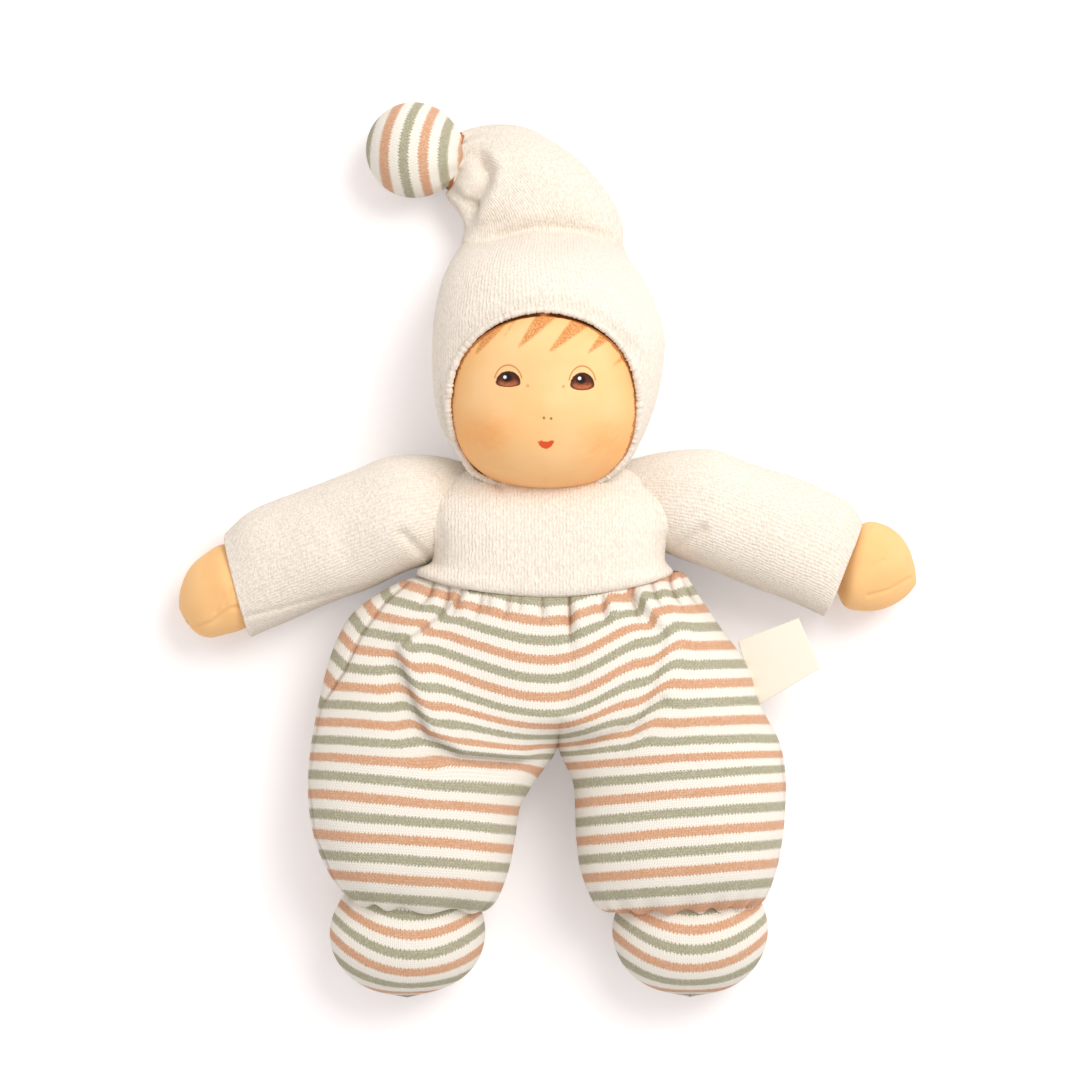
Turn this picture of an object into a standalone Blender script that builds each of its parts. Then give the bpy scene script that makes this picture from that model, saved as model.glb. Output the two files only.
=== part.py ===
"""A Waldorf doll of knitted cloth and wool, lying on its back with its head towards +Y.

Every cloth cover is a shell round its own filling. Each limb ends in a rounded shape that sits in a
socket of the piece that carries it, and the sockets are cut by the limb's own swept shape.
Lengths are metres. The floor is z = 0 and the origin is on the back of the bodice.
"""
import math

import bmesh
import bpy
from mathutils import Matrix, Vector

# Cloth, thread and clearances
JERSEY = 0.0010
TERRY = 0.0020
GAUZE = 0.0006
THREAD_RADIUS = 0.0006
GAP = 0.0003
REST_CUT = 0.0005
CUT_OVERRUN = 0.2

# Trunk
SHOULDER_Y = 0.0310
WAIST_Y = -0.0163
SEAT_END_Y = -0.0500
CHEST_HALF_WIDTH = 0.0380
WAIST_HALF_WIDTH = 0.0415
HIP_HALF_WIDTH = 0.0730

# Head and neck
HEAD_Y = 0.0600
HEAD_HALF_WIDTH = 0.0354
HEAD_HALF_LENGTH = 0.0397
HEAD_HALF_DEPTH = 0.0337
TRUNK_DEPTH_SHARE = 0.7418
TRUNK_HALF_DEPTH = HEAD_HALF_DEPTH * TRUNK_DEPTH_SHARE
HEAD_TAPER_SHARE = 0.18
NECK_HOLE_DEG = 16.0
NECK_RADIUS = 0.0078
NECK_PIVOT_Y = 0.0140
NECK_NOD_DEG = (-10.0, 20.0)
NECK_TURN_DEG = (-60.0, 60.0)

# Cap
CROWN_Y = 0.1080
CROWN_HALF_WIDTH = 0.0275
CROWN_DEPTH = 0.0250
FACE_RIM_Y = 0.0500
FACE_RIM_Z = 0.0465
FACE_TILT_DEG = 35.0
TIP_WIDTH = 0.0550
TIP_HEIGHT = 0.0340
TIP_NECK_RADIUS = 0.0050
TIP_FLOP_DEG = (0.0, 100.0)
BOBBLE_RADIUS = 0.0162
BOBBLE_SWING_DEG = (-30.0, 30.0)

# Arms and hands
SHOULDER_X = 0.0375
SHOULDER_PIVOT_Y = 0.0125
SHOULDER_RADIUS = 0.0187
SHOULDER_Z = 0.0200
ARM_LENGTH = 0.0710
ARM_BOW = 0.0035
ARM_ANGLE_DEG = {"left": 22.5, "right": 18.2}
ARM_SWING_DEG = (-3.0, 50.0)
HAND_RADIUS = 0.0153
HAND_HALF_WIDTH = 0.0147
HAND_HALF_DEPTH = 0.0130
HAND_REACH = 0.0046
HAND_SWING_DEG = (-25.0, 25.0)

# Legs and feet
HIP_Y = -0.0620
HIP_Z = 0.0320
HIP_FOLD_DEG = (0.0, 90.0)
LEG_HALF_DEPTH = 0.0245
LEG_OUTER_X = 0.0785
LEG_INNER_X = 0.0095
CROTCH_X = 0.0042
CROTCH_GAP = 0.0012
HEM_Y = -0.1200
LEG_FULLNESS = 2.3
FOOT_RADIUS = 0.0182
FOOT_HALF_WIDTH = 0.0254
FOOT_X = 0.0472
FOOT_Y = -0.1315
FOOT_TIP_DEG = (-25.0, 25.0)

# Label
LABEL_WIDTH = 0.0170
LABEL_LENGTH = 0.0200
LABEL_THICKNESS = 0.0006
LABEL_Y = -0.0370
LABEL_ANGLE_DEG = 22.0
LABEL_FLIP_DEG = (-60.0, 60.0)
CLOTH_ROUGHNESS = 0.9

# Facets
BODY_SIDES = 20
LIMB_SIDES = 14
THREAD_SIDES = 4
LIMB_SWEEP_STEPS = 4
HEAD_STEPS = 8
BALL_STEPS = 5
LABEL_STEPS = 4
HIP_SWEEP_STEPS = 6
FEW_SWEEP_STEPS = 2
END_CAP_DEG = 171.0
BALL_OPENING_DEG = 33.0
SHARP_EDGE_DEG = 50.0
HULL_FLATTEN_DEG = 1.5

# Which ends of a loft are closed, the first section's and the last one's
BAG = (False, True)
SLEEVE = (True, False)

SIDES = {"left": -1.0, "right": 1.0}
UP = Vector((0.0, 0.0, 1.0))
SIDEWAYS = Vector((1.0, 0.0, 0.0))
HEADWARD = Vector((0.0, 1.0, 0.0))
PIVOTS = {}
MATERIALS = {}


# Materials

def make_material(name, colour, roughness):
    material = bpy.data.materials.new(name)
    material.use_nodes = True
    shader = material.node_tree.nodes["Principled BSDF"]
    shader.inputs["Base Color"].default_value = (*colour, 1.0)
    shader.inputs["Roughness"].default_value = roughness
    shader.inputs["Metallic"].default_value = 0.0
    material.diffuse_color = (*colour, 1.0)
    return material


COLOURS = {
    "skin": (0.95, 0.69, 0.40),
    "terry": (0.90, 0.82, 0.70),
    "stripe": (0.74, 0.62, 0.48),
    "wool": (0.86, 0.80, 0.68),
    "thread": (0.80, 0.72, 0.58),
    "label": (0.90, 0.87, 0.80),
}


# Sections and lofts

def section(y, x_low, x_high, z_low, z_high):
    """A closed section across Y, given by the box that it fills."""
    return (Vector((x_low, y, 0.0)), Vector((x_high, y, 0.0)), z_low, z_high)


def ring_points(one_section, sides, fullness=2.0):
    """Points of a rounded section whose flat diameter runs between two points."""
    low, high, z_low, z_high = one_section
    middle = (low + high) / 2.0
    half = (high - low) / 2.0
    centre_z = (z_low + z_high) / 2.0
    half_depth = (z_high - z_low) / 2.0
    points = []
    for index in range(sides):
        angle = 2.0 * math.pi * (index + 0.5) / sides
        across = math.copysign(abs(math.cos(angle)) ** (2.0 / fullness), math.cos(angle))
        raised = math.copysign(abs(math.sin(angle)) ** (2.0 / fullness), math.sin(angle))
        points.append(middle + half * across + UP * (centre_z + half_depth * raised))
    return points


def loft(sections, sides, fullness=2.0, close_first=True, close_last=True):
    """A skin through the sections, with a flat cap at each closed end."""
    mesh = bmesh.new()
    rings = []
    for one_section in sections:
        points = ring_points(one_section, sides, fullness)
        rings.append([mesh.verts.new(point) for point in points])
    for lower, upper in zip(rings, rings[1:]):
        for index in range(sides):
            after = (index + 1) % sides
            mesh.faces.new((lower[index], lower[after], upper[after], upper[index]))
    first_cap = mesh.faces.new(list(reversed(rings[0])))
    last_cap = mesh.faces.new(rings[-1])
    bmesh.ops.recalc_face_normals(mesh, faces=mesh.faces)
    if mesh.calc_volume(signed=True) < 0.0:
        bmesh.ops.reverse_faces(mesh, faces=mesh.faces)
    if not close_first:
        mesh.faces.remove(first_cap)
    if not close_last:
        mesh.faces.remove(last_cap)
    return mesh


def shifted(mesh, distance):
    """Move every point of a skin outwards along its normal."""
    mesh.normal_update()
    moves = [(vert, vert.normal * distance) for vert in mesh.verts]
    for vert, move in moves:
        vert.co += move
    return mesh


def solid_within(sections, sides, growth, fullness=2.0):
    """A closed solid whose sides lie a distance outside the sections' skin, with flat ends.

    The ends stay open while the sides move, so that an end's rim moves with its wall.
    """
    mesh = shifted(loft(sections, sides, fullness, False, False), growth)
    bmesh.ops.holes_fill(mesh, edges=mesh.edges)
    bmesh.ops.recalc_face_normals(mesh, faces=mesh.faces)
    if mesh.calc_volume(signed=True) < 0.0:
        bmesh.ops.reverse_faces(mesh, faces=mesh.faces)
    return mesh


def torus_points(centre, axis, radius_a, radius_b, thread, sides):
    """A thread ring: an ellipse of radius_a across and radius_b along UP, about an axis."""
    across = UP.cross(axis).normalized()
    rings = []
    for step in range(sides):
        angle = 2.0 * math.pi * step / sides
        outward = across * math.cos(angle) + UP * math.sin(angle)
        place = centre + across * radius_a * math.cos(angle) + UP * radius_b * math.sin(angle)
        ring = []
        for turn in range(THREAD_SIDES):
            roll = 2.0 * math.pi * turn / THREAD_SIDES
            ring.append(place + (outward * math.cos(roll) + axis * math.sin(roll)) * thread)
        rings.append(ring)
    return rings


def thread_mesh(centre, axis, radius_a, radius_b, sides=BODY_SIDES):
    mesh = bmesh.new()
    axis = axis.normalized()
    rings = torus_points(centre, axis, radius_a, radius_b, THREAD_RADIUS, sides)
    verts = [[mesh.verts.new(point) for point in ring] for ring in rings]
    for step in range(sides):
        here = verts[step]
        there = verts[(step + 1) % sides]
        for turn in range(THREAD_SIDES):
            after = (turn + 1) % THREAD_SIDES
            mesh.faces.new((here[turn], here[after], there[after], there[turn]))
    bmesh.ops.recalc_face_normals(mesh, faces=mesh.faces)
    if mesh.calc_volume(signed=True) < 0.0:
        bmesh.ops.reverse_faces(mesh, faces=mesh.faces)
    return mesh


# Objects

def place_mesh(name, mesh, pivot=None, parent=None):
    """Make an object whose origin is at its pivot, under its joint's empty if it has one."""
    data = bpy.data.meshes.new(name)
    origin = pivot if pivot is not None else Vector()
    bmesh.ops.translate(mesh, verts=mesh.verts, vec=-origin)
    mesh.to_mesh(data)
    mesh.free()
    thing = bpy.data.objects.new(name, data)
    bpy.context.collection.objects.link(thing)
    if parent is None:
        thing.location = origin
    else:
        thing.parent = parent
    return thing


def dress(thing, material, smooth=True):
    thing.data.materials.append(MATERIALS[material])
    if smooth:
        thing.data.shade_smooth()
        thing.data.set_sharp_from_angle(angle=math.radians(SHARP_EDGE_DEG))
    return thing


def joint_empty(name, pivot, parent=None):
    """An empty on a joint's axis, which carries the pieces that move."""
    empty = bpy.data.objects.new(name, None)
    bpy.context.collection.objects.link(empty)
    if parent is None:
        empty.location = pivot
    else:
        empty.parent = parent
        empty.location = pivot - PIVOTS[parent.name]
    PIVOTS[name] = pivot
    return empty


def mark_cutter(thing):
    thing.hide_render = True
    thing.display_type = "WIRE"
    return thing


def cut(thing, cutter):
    modifier = thing.modifiers.new("cut_by_" + cutter.name, "BOOLEAN")
    modifier.operation = "DIFFERENCE"
    modifier.solver = "EXACT"
    modifier.object = cutter
    return thing


def cover(name, sections, sides, cloth, parent, material, ends=BAG, fullness=2.0, depth=0.0):
    """A cloth shell whose outer face lies a depth inside the sections' skin."""
    mesh = shifted(loft(sections, sides, fullness, *ends), -depth)
    thing = place_mesh(name, mesh, PIVOTS[parent.name] if parent else None, parent)
    wall = thing.modifiers.new("cloth", "SOLIDIFY")
    wall.thickness = cloth
    wall.offset = -1.0
    wall.use_even_offset = False
    wall.use_rim = True
    return dress(thing, material)


def filling(name, sections, sides, depth, parent, ends=BAG, fullness=2.0):
    """The wool inside a cover whose wall, with its clearance, is depth thick."""
    mesh = shifted(loft(sections, sides, fullness, *ends), -depth)
    bmesh.ops.holes_fill(mesh, edges=mesh.edges)
    bmesh.ops.recalc_face_normals(mesh, faces=mesh.faces)
    thing = place_mesh(name, mesh, PIVOTS[parent.name] if parent else None, parent)
    return dress(thing, "wool")


def hull_object(name, points):
    """A cutter: the convex hull of many points."""
    mesh = bmesh.new()
    for point in points:
        mesh.verts.new(point)
    result = bmesh.ops.convex_hull(mesh, input=mesh.verts)
    inner = [item for item in result["geom_interior"] if isinstance(item, bmesh.types.BMVert)]
    bmesh.ops.delete(mesh, geom=inner, context="VERTS")
    loose = [vert for vert in mesh.verts if not vert.link_faces]
    bmesh.ops.delete(mesh, geom=loose, context="VERTS")
    flat_angle = math.radians(HULL_FLATTEN_DEG)
    bmesh.ops.dissolve_limit(mesh, angle_limit=flat_angle, verts=mesh.verts, edges=mesh.edges)
    bmesh.ops.triangulate(mesh, faces=mesh.faces)
    bmesh.ops.recalc_face_normals(mesh, faces=mesh.faces)
    return mark_cutter(place_mesh(name, mesh))


def grown_points(sections, sides, fullness=2.0):
    """The points of a closed loft, moved out by the clearance."""
    mesh = shifted(loft(sections, sides, fullness), GAP)
    points = [vert.co.copy() for vert in mesh.verts]
    mesh.free()
    return points


def swept(points, pivot, axis, degrees, steps):
    """The points turned about an axis to several angles between two limits."""
    low, high = degrees
    result = []
    for step in range(steps + 1):
        angle = math.radians(low + (high - low) * step / steps)
        turn = Matrix.Rotation(angle, 3, axis)
        result.extend(pivot + turn @ (point - pivot) for point in points)
    return result


# Shapes of the pieces, as sections

def trunk_z(depth_share):
    """Lowest and highest point of a trunk section that is a share of the full depth."""
    centre = TRUNK_HALF_DEPTH - REST_CUT
    return centre - TRUNK_HALF_DEPTH * depth_share, centre + TRUNK_HALF_DEPTH * depth_share


def bodice_sections(edge_y=WAIST_Y):
    """Waist to shoulders: place, half width and half depth, as shares."""
    shape_shares = [
        (0.00, 1.07, 0.97), (0.15, 1.02, 0.98), (0.40, 0.98, 1.00), (0.62, 0.97, 1.00),
        (0.80, 0.90, 0.92), (0.92, 0.78, 0.78), (1.00, 0.60, 0.55),
    ]
    sections = []
    for place, width, depth in shape_shares:
        y = edge_y + (SHOULDER_Y - edge_y) * place
        half = CHEST_HALF_WIDTH * width
        sections.append(section(y, -half, half, *trunk_z(depth)))
    return sections


def seat_top_y():
    return WAIST_Y - 2.0 * (GAP + THREAD_RADIUS)


def seat_sections():
    """Hips to waist: place from the hips up, share of the flare, and half depth share."""
    shape_shares = [
        (0.00, 1.00, 0.98), (0.15, 0.91, 1.00), (0.35, 0.80, 1.00), (0.55, 0.69, 1.00),
        (0.75, 0.57, 1.00), (0.90, 0.40, 0.99), (1.00, 0.00, 0.97),
    ]
    sections = []
    for place, flare, depth in shape_shares:
        y = SEAT_END_Y + (seat_top_y() - SEAT_END_Y) * place
        half = WAIST_HALF_WIDTH + (HIP_HALF_WIDTH - WAIST_HALF_WIDTH) * flare
        sections.append(section(y, -half, half, *trunk_z(depth)))
    return sections


def trunk_wool_mesh():
    """The wool of seat and bodice as one body, inside the thin jersey below and the terry above."""
    sections = seat_sections() + bodice_sections()
    mesh = loft(sections, BODY_SIDES)
    mesh.normal_update()
    moves = []
    for vert in mesh.verts:
        wall = JERSEY if vert.co.y < seat_sections()[-2][0].y else TERRY
        moves.append((vert, vert.normal * (wall + GAP)))
    for vert, move in moves:
        vert.co -= move
    return mesh


def head_z():
    """Height of the head's axis: the hood round it rests on the floor."""
    return HEAD_HALF_DEPTH + GAP + TERRY - REST_CUT


def egg_sections():
    """The head from its neck hole up: an egg that is wider towards the crown."""
    sections = []
    for step in range(HEAD_STEPS + 1):
        angle = math.radians(NECK_HOLE_DEG + (END_CAP_DEG - NECK_HOLE_DEG) * step / HEAD_STEPS)
        along = -math.cos(angle)
        across = math.sin(angle)
        half = HEAD_HALF_WIDTH * across * (1.0 + HEAD_TAPER_SHARE * along)
        rise = HEAD_HALF_DEPTH * across
        y = HEAD_Y + HEAD_HALF_LENGTH * along
        sections.append(section(y, -half, half, head_z() - rise, head_z() + rise))
    return sections


def hood_sections():
    """The hood from the neck to the crown, as shares of the covered head and of the crown's end."""
    wall = GAP + TERRY
    wide = HEAD_HALF_WIDTH + wall
    deep = HEAD_HALF_DEPTH + wall
    neck_y = HEAD_Y - HEAD_HALF_LENGTH + wall
    shape_shares = [
        (0.00, 0.45, 0.44, 0.44), (0.05, 0.58, 0.57, 0.57), (0.13, 0.76, 0.76, 0.76),
        (0.22, 0.86, 0.88, 0.88), (0.34, 0.945, 0.975, 0.975), (0.45, 1.00, 1.00, 1.00),
        (0.54, 1.015, 0.99, 0.99), (0.62, 0.99, 0.99, 0.945), (0.71, 0.93, 0.985, 0.86),
        (0.80, 0.86, 0.98, 0.70), (0.88, 0.79, 0.99, 0.42),
    ]
    sections = []
    for place, width, below, above in shape_shares:
        y = neck_y + (CROWN_Y - neck_y) * place
        half = wide * width
        sections.append(section(y, -half, half, head_z() - deep * below, head_z() + deep * above))
    near_y = CROWN_Y - (CROWN_Y - neck_y) * (1.0 - shape_shares[-1][0]) / 2.0
    near_top = (CROWN_DEPTH + head_z() + deep * shape_shares[-1][3]) / 2.0 - REST_CUT
    near_half = (CROWN_HALF_WIDTH + wide * shape_shares[-1][1]) / 2.0
    sections.append(section(near_y, -near_half, near_half, -REST_CUT, near_top))
    half = CROWN_HALF_WIDTH
    sections.append(section(CROWN_Y, -half, half, -REST_CUT, CROWN_DEPTH - REST_CUT))
    return sections


def tip_sections():
    """The tip, which bends round to the left: each section runs from its inner to its outer point."""
    base_y = CROWN_Y + GAP
    point_shares = [
        (-0.50, 0.000, 0.500, 0.000, 0.98), (-0.50, 0.050, 0.500, 0.050, 0.98),
        (-0.535, 0.110, 0.470, 0.270, 1.00), (-0.564, 0.168, 0.330, 0.520, 0.97),
        (-0.587, 0.250, 0.090, 0.810, 0.91), (-0.598, 0.324, -0.230, 0.990, 0.80),
        (-0.593, 0.385, -0.507, 0.918, 0.64),
    ]
    sections = []
    for low_x, low_y, high_x, high_y, depth in point_shares:
        low = Vector((TIP_WIDTH * low_x, base_y + TIP_HEIGHT * low_y, 0.0))
        high = Vector((TIP_WIDTH * high_x, base_y + TIP_HEIGHT * high_y, 0.0))
        top = CROWN_DEPTH * depth - REST_CUT
        sections.append((low, high, -REST_CUT, top))
    return sections


def tip_end():
    """Middle of the tip's last section and the direction in which the tip leaves it."""
    low, high, z_low, z_high = tip_sections()[-1]
    middle = (low + high) / 2.0 + UP * (z_low + z_high) / 2.0
    across = (high - low).normalized()
    return middle, Vector((-across.y, across.x, 0.0)), across


def tip_neck_section():
    """The gathered end of the tip, narrowed to the tie."""
    middle, onward, across = tip_end()
    centre = middle + onward * TIP_NECK_RADIUS
    half = across * TIP_NECK_RADIUS
    flat = Vector((centre.x, centre.y, 0.0))
    return (flat - half, flat + half, centre.z - TIP_NECK_RADIUS, centre.z + TIP_NECK_RADIUS)


def bobble_pivot():
    middle, onward, across = tip_end()
    return middle + onward * TIP_NECK_RADIUS


def bobble_sections():
    middle, onward, across = tip_end()
    centre = middle + onward * BOBBLE_RADIUS
    centre.z = BOBBLE_RADIUS - REST_CUT
    return ball_sections(centre, onward, BOBBLE_RADIUS, BOBBLE_RADIUS, BOBBLE_RADIUS)


def ball_sections(centre, onward, radius, half_width, half_depth):
    """A rounded bulb along a level direction, from its open end to its far end."""
    across = Vector((onward.y, -onward.x, 0.0))
    sections = []
    for step in range(BALL_STEPS + 1):
        angle = math.radians(BALL_OPENING_DEG + (END_CAP_DEG - BALL_OPENING_DEG) * step / BALL_STEPS)
        place = centre - onward * radius * math.cos(angle)
        flat = Vector((place.x, place.y, 0.0))
        half = across * half_width * math.sin(angle)
        depth = half_depth * math.sin(angle)
        sections.append((flat - half, flat + half, centre.z - depth, centre.z + depth))
    return sections


def arm_frame(side):
    """Pivot, direction and sideways direction (towards the head) of one arm."""
    sign = SIDES[side]
    angle = math.radians(ARM_ANGLE_DEG[side])
    pivot = Vector((sign * SHOULDER_X, SHOULDER_PIVOT_Y, SHOULDER_Z))
    onward = Vector((sign * math.cos(angle), -math.sin(angle), 0.0))
    upward = Vector((sign * math.sin(angle), math.cos(angle), 0.0))
    return pivot, onward, upward


def sleeve_sections(side):
    """A ball at the shoulder, then a tube that bows a little towards the head."""
    pivot, onward, upward = arm_frame(side)
    ball_shares = [(-0.97, 0.24), (-0.85, 0.53), (-0.60, 0.80), (-0.30, 0.954)]
    tube_shares = [
        (0.00, 1.00, 0.98), (0.20, 1.06, 1.06), (0.42, 1.07, 1.04), (0.64, 1.07, 1.00),
        (0.84, 1.05, 0.94), (1.00, 0.97, 0.87),
    ]
    sections = []
    for along, size in ball_shares:
        centre = pivot + onward * SHOULDER_RADIUS * along
        half = upward * SHOULDER_RADIUS * size
        depth = SHOULDER_RADIUS * tube_shares[0][2] * size
        flat = Vector((centre.x, centre.y, 0.0))
        sections.append((flat - half, flat + half, pivot.z - depth, pivot.z + depth))
    for along, size, deep in tube_shares:
        centre = pivot + onward * ARM_LENGTH * along + upward * ARM_BOW * 4.0 * along * (1.0 - along)
        half = upward * SHOULDER_RADIUS * size
        depth = SHOULDER_RADIUS * deep
        rest_z = depth - REST_CUT
        level = pivot.z + (rest_z - pivot.z) * min(1.0, along / tube_shares[3][0])
        flat = Vector((centre.x, centre.y, 0.0))
        sections.append((flat - half, flat + half, level - depth, level + depth))
    return sections


def hand_centre(side):
    pivot, onward, upward = arm_frame(side)
    centre = pivot + onward * (ARM_LENGTH + HAND_REACH)
    return Vector((centre.x, centre.y, HAND_HALF_DEPTH - REST_CUT))


def hand_sections(side):
    onward = arm_frame(side)[1]
    return ball_sections(hand_centre(side), onward, HAND_RADIUS, HAND_HALF_WIDTH, HAND_HALF_DEPTH)


def leg_sections(side):
    """A rounded top inside the seat, the wide thigh, and the gathered hem."""
    sign = SIDES[side]
    centre_z = LEG_HALF_DEPTH - REST_CUT
    crotch = sign * CROTCH_GAP / 2.0 + CROTCH_X
    sections = []
    top_shares = [(0.97, 0.24, 0.74), (0.87, 0.50, 0.80), (0.64, 0.77, 0.87), (0.34, 0.94, 0.94)]
    for along, deep, wide in top_shares:
        y = HIP_Y + LEG_HALF_DEPTH * along
        depth = LEG_HALF_DEPTH * deep
        outer = sign * LEG_OUTER_X * wide
        low_x, high_x = sorted((outer, crotch))
        sections.append(section(y, low_x, high_x, centre_z - depth, centre_z + depth))
    body_shares = [
        (0.00, 0.985, 0.00, 1.00), (0.10, 1.00, 0.19, 1.00), (0.22, 1.01, 0.50, 1.00),
        (0.42, 1.01, 1.00, 1.00), (0.62, 0.985, 1.15, 0.98), (0.80, 0.955, 1.45, 0.93),
        (0.92, 0.905, 1.80, 0.79), (1.00, 0.84, 2.20, 0.66),
    ]
    for along, wide, narrow, deep in body_shares:
        y = HIP_Y + (HEM_Y - HIP_Y) * along
        depth = LEG_HALF_DEPTH * deep
        outer = sign * LEG_OUTER_X * wide
        inner_free = sign * LEG_INNER_X * max(narrow, 1.0)
        blend = min(narrow, 1.0)
        inner = crotch + (inner_free - crotch) * blend
        low_x, high_x = sorted((outer, inner))
        sections.append(section(y, low_x, high_x, centre_z - depth, centre_z + depth))
    return sections


def foot_centre(side):
    return Vector((SIDES[side] * FOOT_X, FOOT_Y, FOOT_RADIUS - REST_CUT))


def foot_sections(side):
    return ball_sections(foot_centre(side), -HEADWARD, FOOT_RADIUS, FOOT_HALF_WIDTH, FOOT_RADIUS)


def head_hole_y():
    return egg_sections()[0][0].y


def neck_stem_sections():
    """A rounded end in the trunk, then a straight stem up to the wound wool of the head."""
    top_y = head_hole_y() - GAP
    end_shares = [(-0.90, 0.44), (-0.60, 0.80), (0.00, 1.00)]
    places = [(NECK_PIVOT_Y + NECK_RADIUS * along, NECK_RADIUS * size) for along, size in end_shares]
    sections = []
    for y, radius in [*places, (top_y, NECK_RADIUS)]:
        sections.append(section(y, -radius, radius, head_z() - radius, head_z() + radius))
    return sections


def neck_thread_centre():
    """The thread lies just below the head's own neck hole."""
    return Vector((0.0, head_hole_y() - 2.0 * GAP - 2.0 * THREAD_RADIUS, head_z()))


def thread_points(centre, axis, radius_a, radius_b):
    points = []
    for ring in torus_points(centre, axis, radius_a, radius_b, THREAD_RADIUS + GAP, LIMB_SIDES):
        points.extend(ring)
    return points


def seat_half_width(y):
    """Half width of the seat's facets at a place between hips and waist."""
    facet_share = math.cos(math.pi / BODY_SIDES)
    sections = seat_sections()
    for below, above in zip(sections, sections[1:]):
        if below[0].y <= y <= above[0].y:
            share = (y - below[0].y) / (above[0].y - below[0].y)
            return (below[1].x + (above[1].x - below[1].x) * share) * facet_share
    return sections[0][1].x * facet_share


# Cutters

def floor_cutter():
    mesh = bmesh.new()
    size = Vector((2.0 * CUT_OVERRUN, 2.0 * CUT_OVERRUN, CUT_OVERRUN))
    shape = Matrix.Translation(-UP * CUT_OVERRUN / 2.0) @ Matrix.Diagonal((*size, 1.0))
    bmesh.ops.create_cube(mesh, size=1.0, matrix=shape)
    return mark_cutter(place_mesh("floor_cutter", mesh))


def face_cutter():
    """Everything in front of the hood's tilted rim."""
    mesh = bmesh.new()
    place = Matrix.Translation(Vector((0.0, FACE_RIM_Y, FACE_RIM_Z)))
    tilt = Matrix.Rotation(math.radians(FACE_TILT_DEG), 4, SIDEWAYS)
    raised = Matrix.Translation(UP * CUT_OVERRUN / 2.0)
    bmesh.ops.create_cube(mesh, size=1.0, matrix=place @ tilt @ raised @ Matrix.Scale(CUT_OVERRUN, 4))
    return mark_cutter(place_mesh("face_cutter", mesh))


def head_cavity_cutter():
    return mark_cutter(place_mesh("head_cavity_cutter", solid_within(egg_sections(), BODY_SIDES, GAP)))


def head_sweep_cutter():
    """The space that the head and the hood's lower edge need as they turn and nod."""
    points = grown_points(egg_sections()[:4], BODY_SIDES)
    points += grown_points(hood_sections()[:8], BODY_SIDES)
    pivot = PIVOTS["head_nod"]
    turned = swept(points, pivot, HEADWARD, NECK_TURN_DEG, FEW_SWEEP_STEPS)
    nodded = swept(turned, pivot, SIDEWAYS, NECK_NOD_DEG, FEW_SWEEP_STEPS)
    return hull_object("head_sweep_cutter", nodded)


def neck_sweep_cutter():
    points = grown_points(neck_stem_sections(), LIMB_SIDES)
    radius = NECK_RADIUS + GAP + THREAD_RADIUS
    points += thread_points(neck_thread_centre(), HEADWARD, radius, radius)
    nodded = swept(points, PIVOTS["head_nod"], SIDEWAYS, NECK_NOD_DEG, FEW_SWEEP_STEPS)
    return hull_object("neck_sweep_cutter", nodded)


def arm_sweep_cutter(side):
    points = grown_points(sleeve_sections(side)[:7], LIMB_SIDES)
    axis = UP * SIDES[side]
    swung = swept(points, PIVOTS["shoulder_" + side], axis, ARM_SWING_DEG, LIMB_SWEEP_STEPS)
    return hull_object("arm_sweep_cutter_" + side, swung)


def legs_sweep_cutter():
    """Both legs fold about one line, so one hull takes both."""
    points = []
    for side in SIDES:
        points += grown_points(leg_sections(side), LIMB_SIDES, LEG_FULLNESS)
    folded = swept(points, PIVOTS["hip_left"], -SIDEWAYS, HIP_FOLD_DEG, HIP_SWEEP_STEPS)
    return hull_object("legs_sweep_cutter", folded)


def hand_sweep_cutter(side):
    points = grown_points(hand_sections(side), LIMB_SIDES)
    swung = swept(points, PIVOTS["wrist_" + side], UP, HAND_SWING_DEG, LIMB_SWEEP_STEPS)
    return hull_object("hand_sweep_cutter_" + side, swung)


def foot_sweep_cutter(side):
    points = grown_points(foot_sections(side), LIMB_SIDES)
    tipped = swept(points, PIVOTS["ankle_" + side], SIDEWAYS, FOOT_TIP_DEG, LIMB_SWEEP_STEPS)
    return hull_object("foot_sweep_cutter_" + side, tipped)


def tip_sweep_cutter():
    """The end of the tip and its thread, as the bobble swings past them."""
    sections = tip_sections()[-4:] + [tip_neck_section()]
    points = grown_points(sections, LIMB_SIDES)
    radius = TIP_NECK_RADIUS + GAP + THREAD_RADIUS
    points += thread_points(bobble_pivot(), tip_end()[1], radius, radius)
    swung = swept(points, PIVOTS["bobble_swing"], UP, BOBBLE_SWING_DEG, FEW_SWEEP_STEPS)
    return hull_object("tip_sweep_cutter", swung)


# Sub-assemblies

def make_joints():
    neck_pivot = Vector((0.0, NECK_PIVOT_Y, head_z()))
    nod = joint_empty("head_nod", neck_pivot)
    turn = joint_empty("head_turn", neck_pivot, nod)
    flop = joint_empty("tip_flop", Vector((0.0, CROWN_Y + GAP, CROWN_DEPTH - REST_CUT)), turn)
    joint_empty("bobble_swing", bobble_pivot(), flop)
    for side in SIDES:
        shoulder = joint_empty("shoulder_" + side, arm_frame(side)[0])
        joint_empty("wrist_" + side, hand_centre(side), shoulder)
        hip = joint_empty("hip_" + side, Vector((0.0, HIP_Y, HIP_Z)))
        joint_empty("ankle_" + side, foot_centre(side), hip)
    joint_empty("label_flip", label_seam()[0])


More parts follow.
